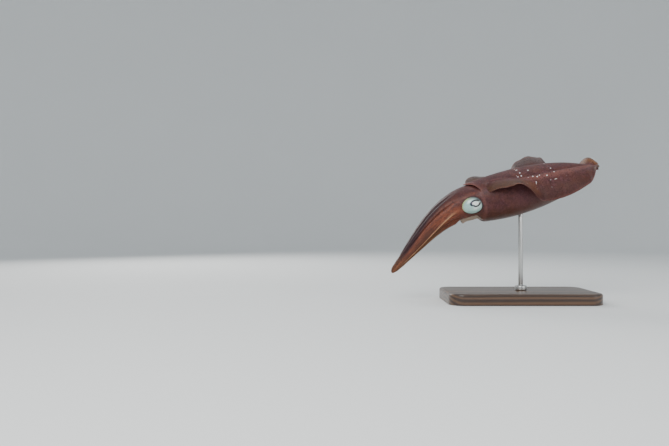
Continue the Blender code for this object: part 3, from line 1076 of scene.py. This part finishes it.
class Shading:
    """Builds one material's nodes."""

    def __init__(self, name: str) -> None:
        """Starts a material with a Principled shader and the object's own coordinates."""
        self.material = bpy.data.materials.new(name)
        self.material.use_nodes = True
        self.tree = self.material.node_tree
        self.shader = self.tree.nodes["Principled BSDF"]
        self.place = self.tree.nodes.new("ShaderNodeTexCoord").outputs["Object"]

    def feed(self, socket: Socket, value: Input) -> None:
        """Links a socket to another, or sets its value."""
        if isinstance(value, Socket):
            self.tree.links.new(value, socket)
        elif isinstance(value, tuple) and len(value) == 3 and socket.type == "RGBA":
            socket.default_value = (*value, 1.0)
        else:
            socket.default_value = value

    def add(
        self, kind: str, inputs: dict[str | int, Input] | None = None, **settings: str | bool
    ) -> bpy.types.Node:
        """Adds a node with its settings and inputs."""
        node = self.tree.nodes.new(kind)
        for name, value in settings.items():
            setattr(node, name, value)
        for name, value in (inputs or {}).items():
            self.feed(node.inputs[name], value)
        return node

    def sum(self, operation: str, *values: Input, clamp: bool = False) -> Socket:
        """A Math node over sockets or numbers."""
        inputs = dict(enumerate(values))
        return self.add("ShaderNodeMath", inputs, operation=operation, use_clamp=clamp).outputs[0]

    def times(self, *values: Input) -> Socket:
        """The product of two or more sockets or numbers."""
        product = values[0]
        for value in values[1:]:
            product = self.sum("MULTIPLY", product, value)
        return product

    def rise(self, value: Input, low: float, high: float, top: float = 1.0) -> Socket:
        """Smoothly from 0 at low to top at high."""
        inputs = {"Value": value, "From Min": low, "From Max": high, "To Max": top}
        if low > high:
            inputs |= {"From Min": high, "From Max": low, "To Min": top, "To Max": 0.0}
        node = self.add("ShaderNodeMapRange", inputs, interpolation_type="SMOOTHSTEP")
        return node.outputs[0]

    def blend(self, share: Input, first: Input, second: Input, kind: str = "MIX") -> Socket:
        """A colour between two others."""
        node = self.add("ShaderNodeMix", data_type="RGBA", blend_type=kind)
        for place, value in zip((0, 6, 7), (share, first, second)):
            self.feed(node.inputs[place], value)
        return node.outputs[2]

    def trait(self, trait: Trait | str) -> Socket:
        """The value of a mesh attribute."""
        name = trait.value if isinstance(trait, Trait) else trait
        return self.add("ShaderNodeAttribute", attribute_name=name).outputs["Fac"]

    def noise(
        self, scale: float, detail: float = 2.0, rough: float = 0.5, at: Socket | None = None
    ) -> Socket:
        """A noise value between 0 and 1."""
        inputs = {"Vector": at or self.place, "Scale": scale, "Detail": detail, "Roughness": rough}
        return self.add("ShaderNodeTexNoise", inputs).outputs[0]

    def cells(self, scale: float, at: Socket | None = None) -> tuple[Socket, Socket]:
        """Distance to the nearest of scattered points, and a random colour for each of them."""
        node = self.add("ShaderNodeTexVoronoi", {"Vector": at or self.place, "Scale": scale})
        return node.outputs["Distance"], node.outputs["Color"]

    def vector(self, x: Input, y: Input, z: Input) -> Socket:
        """A vector from three numbers or sockets."""
        return self.add("ShaderNodeCombineXYZ", {"X": x, "Y": y, "Z": z}).outputs[0]

    def bump(self, height: Input, strength: float, distance: float, normal: Socket | None = None) -> Socket:
        """A bumped normal."""
        inputs = {"Height": height, "Strength": strength, "Distance": distance}
        if normal is not None:
            inputs["Normal"] = normal
        return self.add("ShaderNodeBump", inputs).outputs[0]

    def finish(self, **sockets: Input) -> bpy.types.Material:
        """Feeds the shader's sockets, given with underscores for spaces, and returns the material."""
        for name, value in sockets.items():
            self.feed(self.shader.inputs[name.replace("_", " ")], value)
        return self.material


@dataclass(frozen=True)
class SkinFinish:
    """Wet squid skin: pigment spots over flesh, in the colours that each part of the body takes."""

    maroon: Colour = (0.048, 0.013, 0.014)
    plum: Colour = (0.118, 0.040, 0.048)
    violet: Colour = (0.031, 0.011, 0.015)
    night: Colour = (0.029, 0.010, 0.014)
    chestnut: Colour = (0.115, 0.038, 0.025)
    olive: Colour = (0.084, 0.042, 0.020)
    umber: Colour = (0.055, 0.023, 0.014)
    russet: Colour = (0.222, 0.062, 0.030)
    # the arms' golden colour, also the painted glow and highlight on the fins
    amber_and_glow: Colour = (0.230, 0.092, 0.034)
    blush: Colour = (0.330, 0.140, 0.115)
    straw: Colour = (0.460, 0.250, 0.130)
    # the grey of painted light shining through the thin fins
    backlit_grey: Colour = (0.160, 0.150, 0.150)
    flesh: Colour = (0.400, 0.310, 0.240)
    # the pigment spots' colour, also used for painted shade in recesses
    spot_and_shade: Colour = (0.024, 0.006, 0.007)
    ink: Colour = (0.012, 0.012, 0.020)
    fleck: Colour = (0.800, 0.760, 0.760)

    def mantle(self, s: "Shading") -> Socket:
        """Dark maroon with plum clouds and a duller belly; darker in front, partly its own saddle and partly
        painted shade where the key light falls, and lightened mid-flank as painted light where the near fin
        shades it.
        """
        ahead, back, fin = s.trait(Trait.AHEAD), s.trait(Trait.BACK), s.trait(Trait.FIN)
        cloud = s.rise(s.noise(95, 3, 0.6), 0.34, 0.68)
        mottle = s.rise(s.noise(330, 3, 0.65), 0.36, 0.66)
        along = s.vector(s.times(ahead, 22.0), s.times(back, 5.0), fin)
        streak = s.rise(s.noise(1.0, 2, 0.5, along), 0.38, 0.66)
        base = s.blend(mottle, self.maroon, self.plum)
        base = s.blend(s.times(cloud, 0.7), base, self.chestnut)
        base = s.blend(s.times(streak, 0.35), base, self.maroon)
        # painted shade, partly a real darker saddle: the front, where the key light falls, is darkened
        # towards maroon
        base = s.blend(s.rise(ahead, -0.50, -0.22, 0.28), base, self.maroon)
        # painted light: the middle of the lower flank, which the near fin shades, is lightened towards plum
        middle = s.times(s.rise(ahead, -0.32, -0.52), s.rise(ahead, -1.15, -0.85))
        flank = s.times(middle, s.rise(back, 0.45, 0.05, 0.40))
        base = s.blend(flank, base, self.plum)
        belly = s.rise(back, -0.35, -0.92, 0.5)
        return s.blend(belly, base, self.olive)

    def fins(self, s: "Shading", base: Socket) -> Socket:
        """Paler towards the thin edge and olive in front, with painted light and shade: an amber highlight on
        the lit fold, a darkened hanging rear, and grey and amber light shining through the raised crest and
        tail.
        """
        ahead, fin = s.trait(Trait.AHEAD), s.trait(Trait.FIN)
        middle = s.rise(fin, 0.15, 0.75)
        base = s.blend(s.times(middle, 0.45), base, self.umber)
        front = s.times(middle, s.rise(ahead, -0.70, -0.40), 0.55)
        base = s.blend(front, base, self.olive)
        # painted highlight: the lit ridge where the near fin folds is tinted amber
        fold_highlight = s.times(s.rise(ahead, -0.80, -0.66), s.rise(ahead, -0.50, -0.60))
        fold_highlight = s.times(fold_highlight, s.times(s.rise(fin, 0.05, 0.4), s.rise(fin, 0.98, 0.7)))
        base = s.blend(s.times(fold_highlight, 0.28), base, self.amber_and_glow)
        # painted shade: the hanging rear of the fin, which faces the light, is darkened towards the mantle's
        # maroon
        hung_shade = s.times(s.rise(fin, 0.55, 1.0), s.rise(ahead, -0.66, -0.86))
        base = s.blend(s.times(hung_shade, 0.45), base, self.maroon)
        # painted light: the raised rear of the far fin is greyed as if light shone through it
        crest = s.times(s.rise(ahead, -1.30, -1.10), s.trait(Trait.RAISED))
        crest = s.times(s.rise(fin, 0.45, 1.0), crest)
        base = s.blend(s.times(crest, 0.55), base, self.backlit_grey)
        edge = s.rise(fin, 0.90, 1.0, 0.2)
        base = s.blend(edge, base, self.blush)
        # painted light: the raised tail glows amber, then grey towards its edge, as if light shone through it
        tail = s.times(s.rise(fin, 0.25, 0.9), s.rise(ahead, -1.38, -1.58))
        tail = s.times(tail, s.rise(s.trait(Trait.RAISED), 0.0, 0.35))
        base = s.blend(s.times(tail, 0.75), base, self.amber_and_glow)
        base = s.blend(s.times(tail, s.rise(fin, 0.75, 1.0, 0.6)), base, self.backlit_grey)
        hinge = s.times(s.rise(fin, 0.0, 0.06), s.rise(fin, 0.30, 0.08))
        hinge = s.times(hinge, s.rise(ahead, -0.45, -0.80))
        return s.blend(s.times(hinge, 0.30), base, self.blush)

    def arms(self, s: "Shading") -> Socket:
        """Violet above, streaked russet on the flanks and golden below and at the tips."""
        ahead, back = s.trait(Trait.AHEAD), s.trait(Trait.BACK)
        arm, across = s.trait(Trait.ARM), s.trait(Trait.ACROSS)
        lengthwise = s.vector(s.times(ahead, 2.6), s.times(across, 3.4), arm)
        strand = s.rise(s.noise(2.2, 4, 0.6, lengthwise), 0.36, 0.64)
        blotch = s.rise(s.noise(210, 3, 0.6), 0.50, 0.66, 0.45)
        flank = s.blend(blotch, s.blend(strand, self.chestnut, self.russet), self.maroon)
        lower = s.times(s.rise(ahead, 0.45, 0.80), s.rise(back, 0.25, -0.30, 0.65))
        flank = s.blend(lower, flank, self.umber)
        dorsal = s.times(s.rise(back, 0.15, 0.75), s.rise(ahead, 0.42, 0.16, 0.55))
        flank = s.blend(dorsal, flank, self.maroon)
        above = s.sum("ADD", back, s.rise(ahead, 0.25, 1.25, 0.42))
        base = s.blend(s.rise(above, 0.86, 0.36), s.blend(strand, self.night, self.violet), flank)
        below = s.sum("ADD", back, s.rise(ahead, 0.36, 0.90, 0.32))
        under = s.times(s.rise(below, -0.26, -0.40), s.rise(ahead, 0.40, 0.75, 0.8))
        base = s.blend(under, base, s.blend(strand, self.olive, self.amber_and_glow))
        base = s.blend(s.rise(ahead, 1.06, 1.38, 0.45), base, self.amber_and_glow)
        return s.blend(s.times(s.trait(Trait.KEEL), 0.9), base, self.straw)

    def flecks(self, s: "Shading") -> Socket:
        """White specks over the middle of the back, and a few short scratches on the fins."""
        ahead, back, fin = s.trait(Trait.AHEAD), s.trait(Trait.BACK), s.trait(Trait.FIN)
        distance, colour = s.cells(220)
        shown = s.rise(s.add("ShaderNodeSeparateColor", {"Color": colour}).outputs[1], 0.48, 0.52)
        region = s.times(s.rise(ahead, -0.52, -0.60), s.rise(ahead, -1.18, -0.95))
        region = s.times(region, s.rise(back, 0.05, 0.35))
        region = s.times(region, s.rise(fin, 0.65, 0.35))
        specks = s.times(s.rise(distance, 0.200, 0.150), shown, region)
        stretched = s.vector(s.times(ahead, 5.0), s.times(back, 6.0), s.times(fin, 9.0))
        distance, colour = s.cells(1.0, stretched)
        shown = s.rise(s.add("ShaderNodeSeparateColor", {"Color": colour}).outputs[0], 0.80, 0.84)
        scratch = s.times(s.rise(distance, 0.110, 0.075), shown)
        return s.sum("MAXIMUM", specks, s.times(scratch, s.rise(ahead, -0.70, -0.90)))

    def material(self) -> bpy.types.Material:
        """Builds the material."""
        s = Shading("squid_skin")
        back = s.trait(Trait.BACK)
        base = s.blend(s.rise(s.trait(Trait.AHEAD), 0.08, 0.42), self.fins(s, self.mantle(s)), self.arms(s))
        base = s.blend(s.times(s.trait(Trait.WARM), 0.8), base, self.russet)

        distance, _ = s.cells(1050)
        small = s.times(s.rise(distance, 0.46, 0.30), 0.5)
        base = s.blend(small, base, self.spot_and_shade)
        distance, colour = s.cells(420)
        chosen = s.rise(s.add("ShaderNodeSeparateColor", {"Color": colour}).outputs[0], 0.35, 0.40)
        large = s.times(s.rise(distance, 0.36, 0.24), chosen, s.rise(back, -0.6, 0.5, 0.7))
        base = s.blend(large, base, self.spot_and_shade)

        base = s.blend(s.times(s.trait(Trait.PALE), 0.86), base, self.flesh)
        base = s.blend(s.times(s.trait(Trait.LIP), 0.55), base, self.blush)
        # painted shade in the pocket, the grooves and the funnel's bore
        base = s.blend(s.times(s.trait(Trait.DEEP), 0.8), base, self.spot_and_shade)
        base = s.blend(s.times(s.trait(Trait.LID), 0.7), base, self.ink)
        base = s.blend(self.flecks(s), base, self.fleck)

        grain = s.noise(2600, 2, 0.6)
        height = s.sum("ADD", s.times(small, -0.5), s.times(grain, 0.5))
        normal = s.bump(height, 0.35, 0.0003, s.bump(s.noise(420, 3, 0.6), 0.25, 0.0008))
        return s.finish(
            Base_Color=base,
            Roughness=s.sum("ADD", s.times(grain, 0.2), 0.36),
            Normal=normal,
            IOR=1.38,
            Specular_IOR_Level=0.35,
            Subsurface_Weight=0.18,
            Subsurface_Radius=(1.0, 0.38, 0.25),
            Subsurface_Scale=0.0022,
            Coat_Weight=0.10,
            Coat_Roughness=0.30,
            Coat_IOR=1.33,
        )


@dataclass(frozen=True)
class EyeFinish:
    """A silvery iris under a clear wet cornea, with a dark slit of a pupil and painted reflections on the
    iris.
    """

    silver: Colour = (0.450, 0.620, 0.580)
    mint: Colour = (0.250, 0.440, 0.400)
    # the paler operculum's colour, also used for painted reflections
    white_and_reflection: Colour = (0.900, 0.880, 0.860)
    slit: Colour = (0.012, 0.028, 0.030)
    rim: Colour = (0.020, 0.035, 0.050)
    glow: Colour = (0.420, 0.500, 0.200)

    def material(self) -> bpy.types.Material:
        """Builds the material."""
        s = Shading("squid_eye")
        slit, rim, front = s.trait("slit"), s.trait("rim"), s.trait("front")
        fibres = s.rise(s.noise(1500, 3, 0.6), 0.35, 0.7)
        base = s.blend(s.times(fibres, 0.5), self.silver, self.mint)
        base = s.blend(s.rise(front, -0.2, 0.9, 0.62), base, self.mint)
        patchy = s.rise(s.noise(520, 2, 0.5), 0.30, 0.62)
        # painted reflection: the white inside the pupil's ring and the glint under it, broken up by noise
        base = s.blend(s.times(s.trait("pale"), s.times(patchy, 0.85)), base, self.white_and_reflection)
        ring = s.times(rim, 0.9)
        base = s.blend(ring, base, s.blend(s.rise(front, -0.1, 0.7), self.rim, self.glow))
        base = s.blend(slit, base, self.slit)
        normal = s.bump(fibres, 0.12, 0.0003)
        return s.finish(
            Base_Color=base,
            Roughness=s.sum("ADD", s.times(fibres, 0.15), 0.25),
            Normal=normal,
            Metallic=0.15,
            Coat_Weight=1.0,
            Coat_Roughness=0.04,
            Coat_IOR=1.38,
            Thin_Film_Thickness=320.0,
            Thin_Film_IOR=1.25,
        )


@dataclass(frozen=True)
class WoodFinish:
    """Satin-varnished walnut, its grain running along the base."""

    dark: Colour = (0.030, 0.014, 0.008)
    light: Colour = (0.120, 0.062, 0.032)
    pith: tuple[float, float, float] = (0.0, 0.9, 4.2)

    def material(self) -> bpy.types.Material:
        """Builds the material."""
        s = Shading("display_walnut")
        log = {"Vector": s.place, "Scale": (5.0, 60.0, 60.0), "Location": self.pith}
        stretch = s.add("ShaderNodeMapping", log).outputs[0]
        bend = s.noise(0.8, 3, 0.6, stretch)
        rings = s.add(
            "ShaderNodeTexWave",
            {"Vector": stretch, "Scale": 1.1, "Distortion": 5.0, "Detail": 2.0, "Detail Scale": 0.5},
            wave_type="RINGS", rings_direction="X",
        ).outputs["Fac"]
        fine = s.noise(9.0, 4, 0.7, stretch)
        grain = s.sum("ADD", s.times(rings, 0.45), s.times(bend, 0.55))
        base = s.blend(s.rise(grain, 0.25, 0.80), self.dark, self.light)
        base = s.blend(s.rise(fine, 0.56, 0.72, 0.6), base, self.dark)
        return s.finish(
            Base_Color=base,
            Roughness=s.sum("ADD", s.times(fine, 0.15), 0.33),
            Normal=s.bump(fine, 0.15, 0.0003),
            Coat_Weight=0.35,
            Coat_Roughness=0.18,
        )


@dataclass(frozen=True)
class SteelFinish:
    """Brushed stainless steel."""

    light: Colour = (0.640, 0.640, 0.630)
    dark: Colour = (0.420, 0.420, 0.415)

    def material(self) -> bpy.types.Material:
        """Builds the material."""
        s = Shading("display_steel")
        rings = s.add("ShaderNodeMapping", {"Vector": s.place, "Scale": (300.0, 300.0, 9000.0)}).outputs[0]
        brushed = s.noise(1.0, 3, 0.7, rings)
        return s.finish(
            Base_Color=s.blend(brushed, self.dark, self.light),
            Roughness=s.sum("ADD", s.times(brushed, 0.2), 0.2),
            Normal=s.bump(brushed, 0.08, 0.0001),
            Metallic=1.0,
        )


@dataclass(frozen=True)
class BackdropFinish:
    """Matt pale studio paper."""

    paper: Colour = (0.760, 0.775, 0.780)
    shade: Colour = (0.730, 0.748, 0.755)

    def material(self) -> bpy.types.Material:
        """Builds the material."""
        s = Shading("studio_paper")
        return s.finish(Base_Color=s.blend(s.noise(3, 2), self.paper, self.shade), Roughness=0.9)


@dataclass(frozen=True)
class Eyeball:
    """One eyeball with its iris and pupil."""

    axis: BodyAxis
    head: HeadAndArms
    shape: EyeShape
    side: Side
    around_segments: int = 128
    rings: int = 96
    slit_back: float = 0.155
    slit_up: float = 0.035
    slit_length: float = 0.400
    slit_height: float = 0.355
    slit_width: tuple[float, float] = (0.19, 0.30)
    slit_gap: float = 12
    slit_gap_ease: tuple[float, float] = (6, 24)
    notch: float = 0.30
    notch_turn: float = -134
    notch_width: float = 22
    slit_sink: float = 0.00025
    # where the painted glint sits, in half-sizes of the eye, and its size
    glint_place: tuple[float, float] = (-0.08, -0.42)
    glint_size: float = 0.17
    rim: tuple[float, float] = (0.0008, 0.0026)

    def slit_at(self, forward: float, up: float) -> float:
        """How much of the pupil is at a place on the iris: a waved ring, open towards the tail.

        Args:
            forward: Distance ahead of the eye's middle over its half-length.
            up: Distance above it over its half-height.

        Returns:
            1 in the pupil, 0 off it.
        """
        x = (forward + self.slit_back) / self.slit_length
        z = (up - self.slit_up) / self.slit_height
        turn = math.degrees(math.atan2(z, -x))
        waved = 1 - self.notch * bell(turn - self.notch_turn, self.notch_width)
        band = 1 - smoothstep(*self.slit_width, abs(math.hypot(x, z) - waved))
        return band * smoothstep(*self.slit_gap_ease, abs(turn - self.slit_gap))

    def pale_at(self, forward: float, up: float) -> float:
        """How pale the iris is at a place: the paler operculum inside the pupil's ring, whitened as a painted
        reflection, and a painted glint under it.
        """
        x = (forward + self.slit_back) / self.slit_length
        z = (up - self.slit_up) / self.slit_height
        # the paler operculum, whitened as a painted reflection
        flap_and_reflection = 1 - smoothstep(0.55, 0.95, math.hypot(x, z))
        # painted glint: a reflection under the ring
        glint = bell(math.hypot(forward - self.glint_place[0], up - self.glint_place[1]), self.glint_size)
        return max(flap_and_reflection, glint)

    def build(self, finish: bpy.types.Material) -> bpy.types.Object:
        """Makes the eyeball in its socket."""
        shape = self.shape
        bm = bmesh.new()
        bmesh.ops.create_uvsphere(bm, u_segments=self.around_segments, v_segments=self.rings, radius=1.0)
        bm.transform(Matrix.Rotation(math.pi / 2, 4, "X"))
        layers = {name: bm.verts.layers.float.new(name) for name in ("slit", "rim", "front", "pale")}
        for vertex in bm.verts:
            forward, up = -vertex.co.x, vertex.co.z
            facing = vertex.co.y * self.side.value > 0
            slit = self.slit_at(forward, up) if facing else 0.0
            out = min(math.hypot(forward, up), 1.0)
            head_side = self.head.side_at(
                shape.ahead + forward * shape.half_length, up * shape.half_height - shape.drop
            )
            vertex[layers["slit"]] = slit
            # pale: the operculum with painted reflections, and the painted glint
            vertex[layers["pale"]] = self.pale_at(forward, up) if facing else 0.0
            vertex[layers["rim"]] = 1 - smoothstep(*self.rim, shape.proud(out, head_side)) if facing else 1.0
            vertex[layers["front"]] = forward / max(out, 0.01)
            vertex.co *= 1 - slit * self.slit_sink / shape.half_depth
        turn = Matrix.Rotation(-self.axis.pitch(shape.ahead), 4, "Y")
        middle = self.axis.place_head(shape.ahead, self.side.value * shape.lateral, -shape.drop)
        size = Matrix.Diagonal((shape.half_length, shape.half_depth, shape.half_height, 1.0))
        bm.transform(Matrix.Translation(middle) @ turn @ size)
        bmesh.ops.recalc_face_normals(bm, faces=bm.faces)
        made = add_mesh_object(f"{self.side.word}_eyeball", bm)
        made.data.materials.append(finish)
        return made


@dataclass(frozen=True)
class DisplayStand:
    """A flat wooden base, and one rod rising from a ferrule into the mantle."""

    corner: float = 0.018
    edge: float = 0.0025
    corner_segments: int = 16
    edge_segments: int = 5
    round_segments: int = 64
    rod_sinks: float = 0.002
    flat: float = 1e-6

    def build_base(self, finish: bpy.types.Material) -> bpy.types.Object:
        """Makes the board with rounded corners and a softened upper edge."""
        low, high = (Vector(corner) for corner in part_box("stand_base"))
        bm = bmesh.new()
        bmesh.ops.create_cube(bm, size=1.0)
        bm.transform(Matrix.Translation((low + high) / 2) @ Matrix.Diagonal((*(high - low), 1.0)))
        upright = [e for e in bm.edges if abs(e.verts[0].co.z - e.verts[1].co.z) > self.flat]
        bmesh.ops.bevel(
            bm, geom=upright, offset=self.corner, segments=self.corner_segments, profile=0.5,
            affect="EDGES", material=-1,
        )
        rim = [e for e in bm.edges if all(v.co.z > high.z - self.flat for v in e.verts)]
        bmesh.ops.bevel(
            bm, geom=rim, offset=self.edge, segments=self.edge_segments, profile=0.5,
            affect="EDGES", material=-1,
        )
        foot = [e for e in bm.edges if all(v.co.z < low.z + self.flat for v in e.verts)]
        bmesh.ops.bevel(
            bm, geom=foot, offset=0.0006, segments=2, profile=0.5, affect="EDGES", material=-1
        )
        made = add_mesh_object("display_base", bm)
        made.data.set_sharp_from_angle(angle=math.radians(40))
        made.data.materials.append(finish)
        return made

    def build_upright(
        self, name: str, node: str, rise: float, edge: float, finish: bpy.types.Material
    ) -> bpy.types.Object:
        """Makes a round metal piece over its CAD node.

        Args:
            name: The piece's name.
            node: The CAD node whose box it fills.
            rise: How much higher than the node it ends.
            edge: The radius of its softened ends.
            finish: Its material.

        Returns:
            The new object.
        """
        low, high = (Vector(corner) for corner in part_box(node))
        high.z += rise
        radius = (high.x - low.x) / 2
        bm = bmesh.new()
        bmesh.ops.create_cone(
            bm, cap_ends=True, segments=self.round_segments, radius1=radius, radius2=radius,
            depth=high.z - low.z,
        )
        bm.transform(Matrix.Translation((low + high) / 2))
        ends = [e for e in bm.edges if abs(e.verts[0].co.z - e.verts[1].co.z) < self.flat]
        bmesh.ops.bevel(bm, geom=ends, offset=edge, segments=3, profile=0.5, affect="EDGES", material=-1)
        made = add_mesh_object(name, bm)
        made.data.set_sharp_from_angle(angle=math.radians(40))
        made.data.materials.append(finish)
        return made


@dataclass(frozen=True)
class Softbox:
    """A soft studio light.

    Attributes:
        name: Its name.
        place: Where it stands, from the middle of the model.
        width: The side of its square face.
        power: Its strength in watts.
        colour: Its tint.
    """

    name: str
    place: tuple[float, float, float]
    width: float
    power: float
    colour: Colour = (1.0, 1.0, 1.0)


@dataclass(frozen=True)
class Studio:
    """The round paper backdrop, the lights and the camera."""

    radius: float = 2.6
    cove: float = 0.9
    height: float = 2.2
    focus: tuple[float, float, float] = (-0.03, 0.0, 0.12)
    camera_back: float = 0.91
    camera_left: float = 0.17968
    camera_drop: float = 0.0264
    lens: float = 38.02
    sensor: float = 36.0
    sky: Colour = (0.80, 0.86, 0.90)
    sky_strength: float = 0.65
    lights: tuple[Softbox, ...] = (
        Softbox("key", (-0.50, -1.10, 0.75), 0.8, 17.0, (1.0, 0.98, 0.95)),
        Softbox("top", (0.10, 0.20, 1.35), 1.0, 3.0, (0.95, 0.99, 1.0)),
        Softbox("fill", (1.0, -0.9, 0.35), 0.9, 5.0),
        Softbox("back", (-0.7, 0.9, 0.6), 0.7, 9.0, (1.0, 0.98, 0.94)),
    )

    def build_backdrop(self, finish: bpy.types.Material) -> bpy.types.Object:
        """Spins the floor's and the cove's profile round the model."""
        bm = bmesh.new()
        bends = 16
        profile = [(0.0, 0.0), (self.radius - self.cove, 0.0)]
        for k in range(1, bends + 1):
            turn = math.pi / 2 * k / bends
            across = self.radius - self.cove + self.cove * math.sin(turn)
            profile.append((across, self.cove * (1 - math.cos(turn))))
        profile.append((self.radius, self.height))
        verts = [bm.verts.new((across, 0.0, high)) for across, high in profile]
        edges = [bm.edges.new(pair) for pair in zip(verts, verts[1:])]
        bmesh.ops.spin(
            bm, geom=verts + edges, cent=(0, 0, 0), axis=(0, 0, 1),
            angle=2 * math.pi, steps=96, use_merge=True,
        )
        bmesh.ops.remove_doubles(bm, verts=bm.verts, dist=1e-5)
        bmesh.ops.recalc_face_normals(bm, faces=bm.faces)
        made = add_mesh_object("studio_backdrop", bm)
        made.data.materials.append(finish)
        return made

    def build_lights(self) -> None:
        """Hangs the softboxes, each turned to the model, and lights the room evenly."""
        focus = Vector(self.focus)
        for light in self.lights:
            data = bpy.data.lights.new(light.name, "AREA")
            data.size, data.energy, data.color = light.width, light.power, light.colour
            lamp = bpy.data.objects.new(light.name, data)
            lamp.location = focus + Vector(light.place)
            lamp.rotation_euler = (focus - lamp.location).to_track_quat("-Z", "Y").to_euler()
            bpy.context.scene.collection.objects.link(lamp)
        world = bpy.data.worlds.new("studio_room")
        world.use_nodes = True
        air = world.node_tree.nodes["Background"]
        air.inputs["Color"].default_value = (*self.sky, 1.0)
        air.inputs["Strength"].default_value = self.sky_strength
        bpy.context.scene.world = world

    def build_camera(self, axis: BodyAxis) -> None:
        """Sets a level camera on the animal's left side."""
        data = bpy.data.cameras.new("camera")
        data.lens, data.sensor_width = self.lens, self.sensor
        camera = bpy.data.objects.new("camera", data)
        camera.location = (
            axis.collar_x - self.camera_left, -self.camera_back, axis.collar_height - self.camera_drop
        )
        camera.rotation_euler = (math.pi / 2, 0.0, 0.0)
        bpy.context.scene.collection.objects.link(camera)
        bpy.context.scene.camera = camera


def settle(piece: bpy.types.Object, slot: str, *nodes: str) -> None:
    """Puts a piece on the model in place of its CAD nodes and reports it."""
    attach(piece, BODY)
    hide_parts(*nodes)
    LOG.info("%s: %d faces, for %s", piece.name, len(piece.data.polygons), ", ".join(nodes))


def main() -> None:
    """Builds the squid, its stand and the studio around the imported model."""
    logging.basicConfig(level=logging.INFO, format="%(name)s: %(message)s")
    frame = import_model()

    axis, mantle, head, eye = BodyAxis(), Mantle(), HeadAndArms(), EyeShape()
    studio = Studio()
    studio.build_camera(axis)

    skin = SquidSkin(axis, mantle, Fins(mantle), head, eye, Funnel(axis))
    kept_apart = ("stand_", "eye_")
    flesh = [node for node in frame["nodes"] if not node.startswith(kept_apart)]
    settle(skin.build(SkinFinish().material()), "skin", *flesh)

    eye_finish = EyeFinish().material()
    for side in Side:
        settle(Eyeball(axis, head, eye, side).build(eye_finish), "eye", f"eye_{side.word}")

    stand, steel = DisplayStand(), SteelFinish().material()
    settle(stand.build_base(WoodFinish().material()), "walnut", "stand_base")
    rod = stand.build_upright("display_rod", "stand_rod", stand.rod_sinks, 0.0002, steel)
    settle(rod, "steel", "stand_rod")
    ferrule = stand.build_upright("display_ferrule", "stand_ferrule", 0.0, 0.0008, steel)
    settle(ferrule, "steel", "stand_ferrule")

    studio.build_backdrop(BackdropFinish().material())
    studio.build_lights()


if __name__ == "__main__":
    main()
